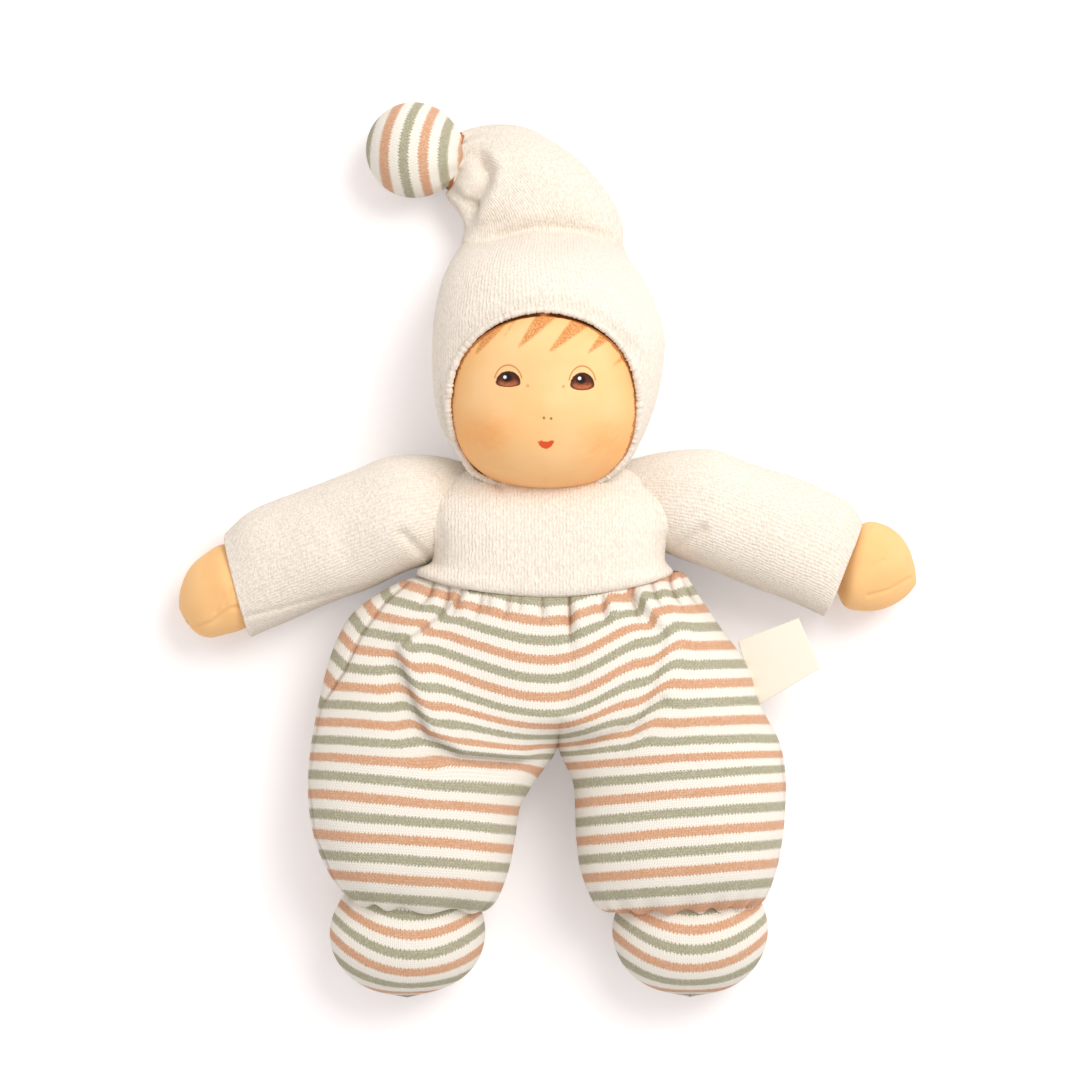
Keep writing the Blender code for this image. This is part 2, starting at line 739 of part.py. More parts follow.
def build_trunk(floor):
    head_sweep = head_sweep_cutter()
    neck_sweep = neck_sweep_cutter()
    legs_sweep = legs_sweep_cutter()
    arm_sweeps = [arm_sweep_cutter(side) for side in SIDES]
    bodice = cover("bodice", bodice_sections(), BODY_SIDES, TERRY, None, "terry")
    seat = cover("trouser_seat", seat_sections(), BODY_SIDES, JERSEY, None, "stripe", SLEEVE)
    wool = dress(place_mesh("body_wool", trunk_wool_mesh()), "wool")
    for cutter in [floor, head_sweep, neck_sweep, *arm_sweeps]:
        cut(bodice, cutter)
    for cutter in [floor, legs_sweep]:
        cut(seat, cutter)
    for cutter in [head_sweep, neck_sweep, *arm_sweeps, legs_sweep]:
        cut(wool, cutter)
    thread_y = WAIST_Y - GAP - THREAD_RADIUS
    z_low, z_high = bodice_sections()[0][2:]
    half_width = WAIST_HALF_WIDTH - JERSEY
    half_depth = (z_high - z_low) / 2.0 - JERSEY
    centre = Vector((0.0, thread_y, (z_low + z_high) / 2.0))
    dress(place_mesh("waist_thread", thread_mesh(centre, HEADWARD, half_width, half_depth)), "thread")


def build_head(floor):
    turn = bpy.data.objects["head_turn"]
    nod = bpy.data.objects["head_nod"]
    sections = egg_sections()
    gauze_depth = JERSEY + GAP
    cover("head_skin", sections, BODY_SIDES, JERSEY, turn, "skin")
    cover("head_gauze", sections, BODY_SIDES, GAUZE, turn, "thread", depth=gauze_depth)
    filling("head_wool_core", sections, BODY_SIDES, gauze_depth + GAUZE + GAP, turn)
    hood = place_mesh("cap_hood", loft(hood_sections(), BODY_SIDES), PIVOTS["head_turn"], turn)
    dress(hood, "terry")
    for cutter in [head_cavity_cutter(), face_cutter(), floor]:
        cut(hood, cutter)
    stem = loft(neck_stem_sections(), LIMB_SIDES)
    dress(place_mesh("neck_stem", stem, PIVOTS["head_nod"], nod), "thread")
    radius = NECK_RADIUS + GAP + THREAD_RADIUS
    thread = thread_mesh(neck_thread_centre(), HEADWARD, radius, radius, LIMB_SIDES)
    dress(place_mesh("neck_thread", thread, PIVOTS["head_nod"], nod), "thread")


def build_tip(floor):
    flop = bpy.data.objects["tip_flop"]
    swing = bpy.data.objects["bobble_swing"]
    sections = tip_sections() + [tip_neck_section()]
    tip = cover("cap_tip", sections, LIMB_SIDES, TERRY, flop, "terry")
    cut(tip, floor)
    filling("tip_wool", sections, LIMB_SIDES, TERRY + GAP, flop)
    radius = TIP_NECK_RADIUS + GAP + THREAD_RADIUS
    thread = thread_mesh(bobble_pivot(), tip_end()[1], radius, radius, LIMB_SIDES)
    dress(place_mesh("bobble_thread", thread, PIVOTS["tip_flop"], flop), "thread")
    tip_sweep = tip_sweep_cutter()
    bobble = cover("bobble_cover", bobble_sections(), LIMB_SIDES, JERSEY, swing, "stripe")
    for cutter in [tip_sweep, floor]:
        cut(bobble, cutter)
    wool = filling("bobble_wool", bobble_sections(), LIMB_SIDES, JERSEY + GAP, swing)
    cut(wool, tip_sweep)


def build_arm(side, floor):
    shoulder = bpy.data.objects["shoulder_" + side]
    wrist = bpy.data.objects["wrist_" + side]
    hand_sweep = hand_sweep_cutter(side)
    sections = sleeve_sections(side)
    sleeve = cover("sleeve_" + side, sections, LIMB_SIDES, TERRY, shoulder, "terry", SLEEVE)
    for cutter in [floor, hand_sweep]:
        cut(sleeve, cutter)
    wool = filling("arm_wool_" + side, sections, LIMB_SIDES, TERRY + GAP, shoulder, SLEEVE)
    cut(wool, hand_sweep)
    hand = cover("hand_skin_" + side, hand_sections(side), LIMB_SIDES, JERSEY, wrist, "skin")
    cut(hand, floor)
    filling("hand_wool_" + side, hand_sections(side), LIMB_SIDES, JERSEY + GAP, wrist)


def build_leg(side, floor):
    hip = bpy.data.objects["hip_" + side]
    ankle = bpy.data.objects["ankle_" + side]
    foot_sweep = foot_sweep_cutter(side)
    sections = leg_sections(side)
    leg = cover("trouser_leg_" + side, sections, LIMB_SIDES, JERSEY, hip, "stripe", SLEEVE, LEG_FULLNESS)
    for cutter in [floor, foot_sweep]:
        cut(leg, cutter)
    wool = filling("leg_wool_" + side, sections, LIMB_SIDES, JERSEY + GAP, hip, SLEEVE, LEG_FULLNESS)
    cut(wool, foot_sweep)
    foot = cover("foot_" + side, foot_sections(side), LIMB_SIDES, JERSEY, ankle, "stripe")
    cut(foot, floor)
    filling("foot_wool_" + side, foot_sections(side), LIMB_SIDES, JERSEY + GAP, ankle)
    thread_y = HEM_Y - GAP - THREAD_RADIUS
    shrink = math.sqrt(1.0 - ((thread_y - FOOT_Y) / FOOT_RADIUS) ** 2)
    clearance = 2.0 * GAP + THREAD_RADIUS
    centre = foot_centre(side)
    centre.y = thread_y
    thread = thread_mesh(
        centre, HEADWARD, FOOT_HALF_WIDTH * shrink + clearance, FOOT_RADIUS * shrink + clearance, LIMB_SIDES
    )
    dress(place_mesh("ankle_thread_" + side, thread, PIVOTS["hip_" + side], hip), "thread")


def label_seam():
    """Middle of the label's seam beside the seat, its direction, and the way the label points."""
    angle = math.radians(LABEL_ANGLE_DEG)
    along = Vector((-math.sin(angle), math.cos(angle), 0.0))
    outward = Vector((math.cos(angle), math.sin(angle), 0.0))
    reach = 0.0
    for step in range(LABEL_STEPS + 1):
        place = along * LABEL_WIDTH * (step / LABEL_STEPS - 1.0 / 2.0)
        reach = max(reach, seat_half_width(LABEL_Y + place.y) - place.x)
    centre_z = TRUNK_HALF_DEPTH - REST_CUT
    return Vector((reach + GAP + LABEL_THICKNESS / 2.0, LABEL_Y, centre_z)), along, outward


def build_label():
    seam, along, outward = label_seam()
    mesh = bmesh.new()
    frame = Matrix((outward, along, UP)).transposed().to_4x4()
    size = Matrix.Diagonal((LABEL_LENGTH, LABEL_WIDTH, LABEL_THICKNESS, 1.0))
    place = Matrix.Translation(seam + outward * LABEL_LENGTH / 2.0)
    bmesh.ops.create_cube(mesh, size=1.0, matrix=place @ frame @ size)
    label = place_mesh("side_label", mesh, PIVOTS["label_flip"], bpy.data.objects["label_flip"])
    dress(label, "label", smooth=False)


def main():
    for thing in list(bpy.data.objects):
        bpy.data.objects.remove(thing)
    for name, colour in COLOURS.items():
        MATERIALS[name] = make_material("doll_" + name, colour, CLOTH_ROUGHNESS)
    make_joints()
    floor = floor_cutter()
    build_trunk(floor)
    build_head(floor)
    build_tip(floor)
    for side in SIDES:
        build_arm(side, floor)
        build_leg(side, floor)
    build_label()


main()
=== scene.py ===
# %% [markdown]
# # A Waldorf doll on a white ground
#
# The doll lies on its back and is seen from straight above. Lengths in this notebook are millimetres
# until a mesh is made, x runs to the right of the picture, y towards the doll's cap and z up from
# the ground. Every piece of cloth is a grid of points given by a formula of two parameters.

# %% Frame
import math

import bmesh
import bpy
import numpy as np
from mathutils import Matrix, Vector


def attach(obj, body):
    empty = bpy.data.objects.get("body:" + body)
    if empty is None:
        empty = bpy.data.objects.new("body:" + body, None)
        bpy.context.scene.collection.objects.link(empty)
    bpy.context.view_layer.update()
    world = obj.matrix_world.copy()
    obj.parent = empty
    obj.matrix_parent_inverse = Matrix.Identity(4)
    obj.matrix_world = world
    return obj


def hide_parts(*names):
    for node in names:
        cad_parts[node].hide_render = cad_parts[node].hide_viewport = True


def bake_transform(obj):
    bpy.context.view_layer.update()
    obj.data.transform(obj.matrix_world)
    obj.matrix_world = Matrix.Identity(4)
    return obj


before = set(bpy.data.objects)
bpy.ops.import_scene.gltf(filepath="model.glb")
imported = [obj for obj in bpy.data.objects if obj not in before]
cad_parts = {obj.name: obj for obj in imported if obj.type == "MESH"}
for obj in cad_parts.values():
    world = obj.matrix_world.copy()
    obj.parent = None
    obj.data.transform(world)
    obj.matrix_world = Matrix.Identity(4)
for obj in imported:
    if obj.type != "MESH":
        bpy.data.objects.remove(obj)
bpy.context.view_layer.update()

# %% [markdown]
# ## Curves and grids
#
# `spline` draws a smooth line through measured places, `ease` is a soft step between two places, and
# `cloth` turns a grid of points into a mesh. A grid has one row for each place along the piece and
# one column for each place round it.

# %% Tools for grids
MM = 0.001
SEED = 11
FIELD = 360.0
CAMERA_PLACE = (-2.5, 2.7, 1400.0)
FOCUS_HEIGHT = 25.0


def spline(at, places, values):
    """Cubic Hermite line through (places, values), with centred slopes."""
    places, values = np.asarray(places, float), np.asarray(values, float)
    slope = np.gradient(values, places)
    at = np.clip(at, places[0], places[-1])
    k = np.clip(np.searchsorted(places, at) - 1, 0, len(places) - 2)
    width = places[k + 1] - places[k]
    t = (at - places[k]) / width
    start = (1 + 2 * t) * (1 - t) ** 2 * values[k] + t * (1 - t) ** 2 * width * slope[k]
    end = t * t * (3 - 2 * t) * values[k + 1] + t * t * (t - 1) * width * slope[k + 1]
    return start + end


def ease(x, low, high):
    """0 below low, 1 above high and 3t^2 - 2t^3 between them."""
    t = np.clip((x - low) / (high - low), 0, 1)
    return t * t * (3 - 2 * t)


def bell(x, centre, width):
    """exp(-((x - centre) / width)^2)"""
    return np.exp(-(((x - centre) / width) ** 2))


def rounded(angle, fullness=2.0):
    """Cosine and sine of a superellipse: sign(c) |c|^(2 / fullness)."""
    c, s = np.cos(angle), np.sin(angle)
    return np.sign(c) * abs(c) ** (2 / fullness), np.sign(s) * abs(s) ** (2 / fullness)


def settle(z, softness=0.6):
    """Cloth that would sink below the ground lies on it: (z + sqrt(z^2 + 4 s^2)) / 2."""
    return (z + np.sqrt(z * z + 4 * softness**2)) / 2 - softness * ease(z, -4, 4)


def grid_of(rows, columns, last=1.0, first=0.0):
    """Two arrays: the place along, and the angle round from first to last turns."""
    along = np.linspace(0, 1, rows)[:, None]
    turn = np.linspace(first, last, columns, endpoint=last - first < 1)[None, :]
    return np.broadcast_arrays(along, 2 * np.pi * turn)


def normals(points, around):
    """Unit normals of a grid: the cross product of its two directions, turned outwards."""
    down = np.gradient(points, axis=0)
    across = np.gradient(points, axis=1)
    if around:
        across = (np.roll(points, -1, 1) - np.roll(points, 1, 1)) / 2
    normal = np.cross(across, down)
    normal /= np.linalg.norm(normal, axis=2, keepdims=True) + 1e-9
    outward = points - points.mean(axis=1, keepdims=True)
    return normal * np.sign((normal * outward).sum() + 1e-9)


def puff(points, height, around=True):
    """Move a grid outwards by a height at each point."""
    return points + normals(points, around) * height[..., None]


def wander(x, y, scale, seed):
    """A smooth random height between about -1 and 1: a sum of waves in random directions."""
    rng = np.random.default_rng(seed)
    total = 0
    for octave in (1, 1, 1, 2, 2, 2):
        a, phase = rng.uniform(0, 2 * np.pi, 2)
        total = total + np.sin(octave / scale * (x * np.cos(a) + y * np.sin(a)) + phase) / octave
    return total / 3


def across(x, y, line):
    """Distance to a folded line, and the signed distance across it, positive on the left as it is walked."""
    nearest, over = np.full(np.shape(x), 1e9), np.zeros(np.shape(x))
    for (ax, ay), (bx, by) in zip(line, line[1:]):
        dx, dy = bx - ax, by - ay
        t = np.clip(((x - ax) * dx + (y - ay) * dy) / (dx**2 + dy**2), 0, 1)
        distance = np.hypot(x - ax - t * dx, y - ay - t * dy)
        over = np.where(distance < nearest, ((y - ay) * dx - (x - ax) * dy) / np.hypot(dx, dy), over)
        nearest = np.minimum(distance, nearest)
    return nearest, over


def crease(x, y, line, width):
    """How near a point is to a folded line: exp(-(d / width)^2), d being the distance to it."""
    return np.exp(-((across(x, y, line)[0] / width) ** 2))


def at_pixels(*pairs):
    """Places in the picture, 1080 pixels wide, as millimetres on the ground."""
    return [((px - 547.5) / 3, (548 - py) / 3) for px, py in pairs]


def as_seen(points):
    """x and y in the picture of points at any height: the camera's view, measured at its focus height."""
    nearer = (CAMERA_PLACE[2] - FOCUS_HEIGHT) / (CAMERA_PLACE[2] - points[..., 2])
    return [CAMERA_PLACE[k] + (points[..., k] - CAMERA_PLACE[k]) * nearer for k in (0, 1)]


def cloth(name, points, material, around=True, poles=(False, False), marks=None, weld=0.0):
    """A mesh over an (m, n, 3) grid of millimetres; marks are values for the shader at each point."""
    m, n = points.shape[:2]
    verts = points.reshape(-1, 3) * MM
    marks = {key: np.asarray(value, float).reshape(m * n, -1) for key, value in (marks or {}).items()}
    i, j = np.meshgrid(np.arange(m - 1), np.arange(n if around else n - 1), indexing="ij")
    here, after = i * n + j, i * n + (j + 1) % n
    faces = np.stack([here, after, after + n, here + n], -1).reshape(-1, 4).tolist()
    for has_pole, row in zip(poles, (0, m - 1)):
        if has_pole:
            ring = np.arange(n) + row * n
            tip = len(verts)
            verts = np.vstack([verts, verts[ring].mean(0)])
            marks = {key: np.vstack([value, value[ring].mean(0)]) for key, value in marks.items()}
            faces += [[int(a), int(b), tip] for a, b in zip(ring, np.roll(ring, -1))]
    data = bpy.data.meshes.new(name)
    data.from_pydata(verts.tolist(), [], faces)
    for key, value in marks.items():
        kind = "FLOAT" if value.shape[1] == 1 else "FLOAT_VECTOR"
        layer = data.attributes.new(key, kind, "POINT")
        layer.data.foreach_set("value" if kind == "FLOAT" else "vector", value.astype(np.float32).ravel())
    data.materials.append(material)
    solid = bmesh.new()
    solid.from_mesh(data)
    if weld:
        bmesh.ops.remove_doubles(solid, verts=solid.verts, dist=weld * MM)
    bmesh.ops.recalc_face_normals(solid, faces=solid.faces)
    solid.to_mesh(data)
    solid.free()
    data.shade_smooth()
    thing = bpy.data.objects.new(name, data)
    bpy.context.scene.collection.objects.link(thing)
    print(f"{name}: {len(data.vertices)} points")
    return thing


# %% [markdown]
# ## Shader tools
#
# `Nodes` adds shader nodes and links them by name, so that each material reads like its formula.

# %% Node helper
class Nodes:
    """A thin layer over a node tree: add nodes, link values, and do sums."""

    def __init__(self, tree):
        self.tree = tree

    def add(self, kind, inputs=None, **settings):
        node = self.tree.nodes.new(kind)
        for key, value in settings.items():
            setattr(node, key, value)
        for key, value in (inputs or {}).items():
            self.give(node.inputs[key], value)
        return node

    def give(self, socket, value):
        if isinstance(value, bpy.types.NodeSocket):
            self.tree.links.new(value, socket)
        else:
            socket.default_value = value

    def sum(self, operation, a, b=0.0, c=0.0):
        node = self.add("ShaderNodeMath", operation=operation)
        for socket, value in zip(node.inputs, (a, b, c)):
            self.give(socket, value)
        return node.outputs[0]

    def step(self, x, low, high, to_low=0.0, to_high=1.0):
        values = {"Value": x, "From Min": low, "From Max": high, "To Min": to_low, "To Max": to_high}
        node = self.add("ShaderNodeMapRange", values, interpolation_type="SMOOTHSTEP")
        return node.outputs["Result"]

    def mix(self, share, a, b, blend="MIX"):
        node = self.add("ShaderNodeMix", data_type="RGBA", blend_type=blend)
        for socket, value in zip((node.inputs[0], node.inputs[6], node.inputs[7]), (share, a, b)):
            self.give(socket, value)
        return node.outputs[2]

    def noise(self, vector, scale, detail=2.0, roughness=0.5):
        values = {"Vector": vector, "Scale": scale, "Detail": detail, "Roughness": roughness}
        return self.add("ShaderNodeTexNoise", values).outputs["Fac"]

    def mark(self, name):
        return self.add("ShaderNodeAttribute", attribute_name=name)


def colour(r, g, b):
    """An sRGB colour from 0 to 255 as the linear value that a shader takes."""
    c = np.array([r, g, b]) / 255
    linear = np.where(c <= 0.04045, c / 12.92, ((c + 0.055) / 1.055) ** 2.4)
    return (*linear.tolist(), 1.0)


def new_group(name, inputs, outputs):
    """An empty node group with its sockets: {name: kind}."""
    tree = bpy.data.node_groups.new(name, "ShaderNodeTree")
    for direction, sockets in (("INPUT", inputs), ("OUTPUT", outputs)):
        for key, kind in sockets.items():
            tree.interface.new_socket(key, in_out=direction, socket_type="NodeSocket" + kind)
    nodes = Nodes(tree)
    return nodes, nodes.add("NodeGroupInput").outputs, nodes.add("NodeGroupOutput").inputs


def new_material(name):
    material = bpy.data.materials.new(name)
    material.use_nodes = True
    nodes = Nodes(material.node_tree)
    return material, nodes, material.node_tree.nodes["Principled BSDF"].inputs


# %% [markdown]
# ## Knit
#
# Jersey is made of columns of small V-shaped stitches. `u` runs across the columns and `v` along
# them, both in millimetres. The V shape also makes the zigzag edge of each coloured stripe.

# %% Knit group
WALE = 1.15
COURSE = 0.85

knit, given, wanted = new_group("knit", {"u": "Float", "v": "Float"}, {"Height": "Float", "Zigzag": "Float"})
column = knit.sum("FRACT", knit.sum("DIVIDE", given["u"], WALE))
from_middle = knit.sum("ABSOLUTE", knit.sum("SUBTRACT", column, 0.5))
zigzag = knit.sum("MULTIPLY", from_middle, 2.0)
row_phase = knit.sum("ADD", knit.sum("DIVIDE", given["v"], COURSE), knit.sum("MULTIPLY", zigzag, 0.9))
row_wave = knit.sum("SINE", knit.sum("MULTIPLY", row_phase, 2 * math.pi))
leg_wave = knit.sum("SINE", knit.sum("MULTIPLY", zigzag, math.pi))
knit.give(wanted["Height"], knit.sum("MULTIPLY_ADD", row_wave, 0.35, leg_wave))
knit.give(wanted["Zigzag"], zigzag)
print("knit group:", len(knit.tree.nodes), "nodes")

# %% [markdown]
# ## Plush
#
# Terry is a field of tiny loops. The group adds three sizes of noise, of which the finest is the
# loops, and lets them lie in rows that run along the knitting.

# %% Plush group
RIB_PITCH = 1.15

plush, given, wanted = new_group("plush", {"Vector": "Vector", "Across": "Float"}, {"Height": "Float", "Shade": "Float"})
rows = plush.add("ShaderNodeMapping", {"Vector": given["Vector"], "Scale": (1.0, 0.45, 1.0)}).outputs[0]
loops = plush.noise(rows, 1500.0, 3.0, 0.65)
tufts = plush.noise(given["Vector"], 420.0, 2.0, 0.5)
brushed = plush.noise(given["Vector"], 75.0, 2.0, 0.5)
height = plush.sum("MULTIPLY_ADD", tufts, 0.55, plush.sum("MULTIPLY_ADD", brushed, 0.35, loops))
strayed = plush.sum("MULTIPLY_ADD", tufts, 1.2, given["Across"])
rib = plush.sum("SINE", plush.sum("MULTIPLY", strayed, 2 * math.pi / RIB_PITCH))
height = plush.sum("MULTIPLY_ADD", rib, 0.14, height)
plush.give(wanted["Height"], height)
# Shade is low between the loops and in the rib hollows: painted shade at the scale of the loops.
plush.give(wanted["Shade"], plush.step(plush.sum("MULTIPLY_ADD", rib, 0.05, loops), 0.36, 0.60))
print("plush group:", len(plush.tree.nodes), "nodes")


# %% Materials
CREAM = colour(249, 242, 230)
SAGE = colour(170, 165, 136)
TERRACOTTA = colour(217, 161, 122)


def group_node(nodes, group, inputs):
    node = nodes.add("ShaderNodeGroup", node_tree=group.tree)
    for key, value in inputs.items():
        nodes.give(node.inputs[key], value)
    return node.outputs


def striped_material(name):
    """Cream knit with sage and terracotta stripes in turn; the mark "weave" holds (u, v, stripe)."""
    material, nodes, shader = new_material(name)
    weave = nodes.add("ShaderNodeSeparateXYZ", {"Vector": nodes.mark("weave").outputs["Vector"]}).outputs
    stitches = group_node(nodes, knit, {"u": weave[0], "v": weave[1]})
    place = nodes.add("ShaderNodeTexCoord").outputs["Object"]
    fuzz = nodes.sum("MULTIPLY_ADD", nodes.noise(place, 1300.0), 0.18, -0.09)
    shift = nodes.sum("MULTIPLY_ADD", stitches["Zigzag"], 0.10, fuzz)
    stripe = nodes.sum("ADD", weave[2], shift)
    nearest = nodes.sum("ROUND", stripe)
    distance = nodes.sum("ABSOLUTE", nodes.sum("SUBTRACT", stripe, nearest))
    dyed = nodes.step(distance, 0.30, 0.20)
    is_sage = nodes.sum("GREATER_THAN", nodes.sum("PINGPONG", nearest, 1.0), 0.5)
    heather = nodes.noise(place, 1700.0, 3.0)
    yarn = nodes.mix(is_sage, TERRACOTTA, SAGE)
    yarn = nodes.mix(nodes.step(heather, 0.35, 0.75, 0.0, 0.30), yarn, CREAM)
    shade = nodes.mix(dyed, CREAM, yarn)
    # Darker in the low parts of each stitch: painted shade in the stitch hollows.
    dark = nodes.step(stitches["Height"], -0.2, 0.8, 0.86, 1.0)
    shade = nodes.mix(1.0, shade, nodes.add("ShaderNodeCombineColor", {0: dark, 1: dark, 2: dark}).outputs[0], "MULTIPLY")
    # The mark "deep" multiplies the knit towards warm brown: painted shade in pleats, under folds and along seams.
    deep = nodes.sum("MULTIPLY", nodes.mark("deep").outputs["Fac"], 0.85)
    shade = nodes.mix(deep, shade, (0.36, 0.20, 0.12, 1.0), "MULTIPLY")
    grain = nodes.sum("MULTIPLY_ADD", heather, 0.5, stitches["Height"])
    bump = nodes.add("ShaderNodeBump", {"Height": grain, "Strength": 0.5, "Distance": 0.0003})
    for key, value in {"Base Color": shade, "Roughness": 0.9, "Normal": bump.outputs[0], "Specular IOR Level": 0.15,
                       "Sheen Weight": 0.12, "Sheen Roughness": 0.5}.items():
        nodes.give(shader[key], value)
    return material


def plush_material(name, tint):
    """Soft looped terry, lighter where the loops stand up and darker between them: painted shade at the scale of the
    loops.
    """
    material, nodes, shader = new_material(name)
    place = nodes.add("ShaderNodeTexCoord").outputs["Object"]
    pile = group_node(nodes, plush, {"Vector": place, "Across": nodes.mark("across").outputs["Fac"]})
    # The loops' tops keep the tint; the darker gaps between them are painted shade.
    shaded = nodes.mix(pile["Shade"], tuple(c * s for c, s in zip(tint, (0.88, 0.855, 0.82))) + (1.0,), tint)
    bump = nodes.add("ShaderNodeBump", {"Height": pile["Height"], "Strength": 0.75, "Distance": 0.0007})
    for key, value in {"Base Color": shaded, "Roughness": 1.0, "Normal": bump.outputs[0], "Specular IOR Level": 0.05,
                       "Sheen Weight": 0.25, "Sheen Roughness": 0.6}.items():
        nodes.give(shader[key], value)
    return material


STRIPED = striped_material("striped_knit")
TERRY = plush_material("terry", colour(247, 237, 224))
print("materials:", [m.name for m in (STRIPED, TERRY)])


# %% [markdown]
# ## Painted jersey
#
# The face is painted on fine skin-coloured jersey. Each painted shape comes as a distance in
# millimetres at each point of the head, below zero inside the shape, and the shader draws its edge.

# %% Skin
NOSTRIL, TEAR_DOT = colour(120, 72, 40), colour(236, 150, 100)
PAINTED_DOTS = [((-6.6, 54.1), 0.5, TEAR_DOT), ((5.3, 53.9), 0.5, TEAR_DOT),
                ((-1.2, 43.4), 0.42, NOSTRIL), ((1.2, 43.2), 0.42, NOSTRIL)]
EYES = [
    # middle x, widest y, half width, rise, drop, lid's height above the widest line, glint x and y
    (-13.1, 55.0, 4.1, 4.0, 1.3, 5.6, -14.2, 57.0), (11.6, 54.3, 4.0, 4.2, 1.7, 6.0, 10.7, 56.6),
]


def radial(nodes, face, centre, radii):
    """hypot((x - cx) / rx, (y - cy) / ry) of the face's own coordinates."""
    (cx, cy), (rx, ry) = centre, radii
    scaled = nodes.add("ShaderNodeVectorMath", {0: face, 1: (1 / rx, 1 / ry, 0), 2: (-cx / rx, -cy / ry, 0)}, operation="MULTIPLY_ADD")
    return nodes.add("ShaderNodeVectorMath", {0: scaled.outputs[0]}, operation="LENGTH").outputs["Value"]


def painted_eye(nodes, shade, face, pencil, eye):
    """A dome of dark brown that glows red at its foot, with a glint, and a thin lid drawn above it."""
    x, y, half, rise, drop, lid, glint_x, glint_y = eye
    height = nodes.add("ShaderNodeSeparateXYZ", {"Vector": face}).outputs["Y"]
    above = nodes.sum("GREATER_THAN", height, y)
    dome = [radial(nodes, face, (x, y), (half, size)) for size in (rise, drop)]
    edge = nodes.sum("ADD", nodes.sum("MULTIPLY", dome[0], above), nodes.sum("MULTIPLY", dome[1], nodes.sum("SUBTRACT", 1.0, above)))
    edge = nodes.sum("MULTIPLY_ADD", pencil, 0.12, nodes.sum("ADD", edge, -0.06))
    arc = nodes.sum("ABSOLUTE", nodes.sum("ADD", radial(nodes, face, (x, y + 0.4), (half + 0.5, lid)), -1.0))
    arc = nodes.sum("MAXIMUM", arc, nodes.step(height, y + 2.0, y + 0.6, 0.0, 0.2))
    shade = nodes.mix(nodes.step(arc, 0.075, 0.02, 0.0, 0.75), shade, colour(190, 112, 62))
    glow = nodes.sum("MULTIPLY_ADD", pencil, 2.4, nodes.sum("ADD", height, -1.2 - y))
    iris = nodes.mix(nodes.step(glow, -1.0, 1.6), colour(186, 104, 66), colour(88, 44, 28))
    iris = nodes.mix(nodes.step(edge, 0.6, 0.95, 0.0, 0.8), iris, colour(58, 28, 18))
    iris = nodes.mix(nodes.step(radial(nodes, face, (x - 0.4, y + 1.9), (2.0, 1.9)), 1.1, 0.5), iris, colour(34, 18, 14))
    iris = nodes.mix(nodes.step(radial(nodes, face, (glint_x, glint_y), (0.62, 0.62)), 1.2, 0.6), iris, colour(240, 242, 248))
    return nodes.mix(nodes.step(edge, 1.05, 0.97), shade, iris)


def skin_material(name, painted):
    """Fine jersey; a painted one reads the marks face (x, y in millimetres), lips, hair, blush and rim."""
    material, nodes, shader = new_material(name)
    place = nodes.add("ShaderNodeTexCoord").outputs["Object"]
    weave = nodes.add("ShaderNodeSeparateXYZ", {"Vector": nodes.mark("weave").outputs["Vector"]}).outputs
    stitches = group_node(nodes, knit, {"u": nodes.sum("MULTIPLY", weave[0], 2.4), "v": nodes.sum("MULTIPLY", weave[1], 2.4)})
    cloudy = nodes.noise(place, 60.0)
    deep, light = (colour(247, 199, 138), colour(251, 206, 149)) if painted else (colour(245, 192, 129), colour(249, 199, 138))
    shade = nodes.mix(nodes.step(cloudy, 0.3, 0.7), deep, light)
    if painted:
        value = {key: nodes.mark(key).outputs["Fac"] for key in ("lips", "hair", "blush_and_chin_shade", "rim")}
        face = nodes.mark("face").outputs["Vector"]
        streaks = nodes.add("ShaderNodeMapping", {"Vector": place, "Scale": (0.35, 1.0, 1.0)}).outputs[0]
        pencil = nodes.noise(place, 1900.0, 2.0)
        # Cheek blush and painted shade along the chin, in one orange tint.
        rouge_and_chin_shade = nodes.sum("MULTIPLY", value["blush_and_chin_shade"], nodes.step(nodes.noise(streaks, 420.0), 0.2, 0.8, 0.55, 1.0))
        shade = nodes.mix(rouge_and_chin_shade, shade, colour(250, 172, 102))
        # Orange towards the hood's rim, within 9 mm of it: painted shade near the rim.
        shade = nodes.mix(nodes.step(value["rim"], 9.0, 0.5, 0.0, 0.4), shade, colour(248, 172, 92))
        strokes = nodes.sum("MULTIPLY", nodes.step(value["hair"], 0.5, -0.5), nodes.step(pencil, 0.30, 0.62, 0.35, 0.92))
        shade = nodes.mix(strokes, shade, colour(206, 128, 62))
        for centre, radius, tint in PAINTED_DOTS:
            near = radial(nodes, face, centre, (radius, radius))
            shade = nodes.mix(nodes.step(near, 1.35, 0.75, 0.0, 0.8), shade, tint)
        rough_edge = nodes.sum("MULTIPLY_ADD", pencil, 0.8, -0.4)
        lips = nodes.step(nodes.sum("ADD", value["lips"], rough_edge), 0.12, -0.25)
        shade = nodes.mix(lips, shade, colour(222, 84, 40))
        for eye in EYES:
            shade = painted_eye(nodes, shade, face, pencil, eye)
        # A thin ragged brown line along the hood's rim: painted shadow where the rim meets the face.
        rim_shadow = nodes.sum("MULTIPLY_ADD", nodes.noise(place, 1100.0), 1.6, nodes.sum("ADD", value["rim"], -0.8))
        shade = nodes.mix(nodes.step(rim_shadow, 1.15, 0.8, 0.0, 0.85), shade, colour(176, 100, 38))
    grain = nodes.sum("MULTIPLY_ADD", nodes.noise(place, 1500.0), 0.6, stitches["Height"])
    bump = nodes.add("ShaderNodeBump", {"Height": grain, "Strength": 0.12, "Distance": 0.0002})
    for key, value in {"Base Color": shade, "Roughness": 0.75, "Normal": bump.outputs[0], "Specular IOR Level": 0.2,
                       "Sheen Weight": 0.08, "Subsurface Weight": 0.06, "Subsurface Scale": 0.002}.items():
        nodes.give(shader[key], value)
    return material


FACE_SKIN = skin_material("painted_jersey", True)
SKIN = skin_material("skin_jersey", False)


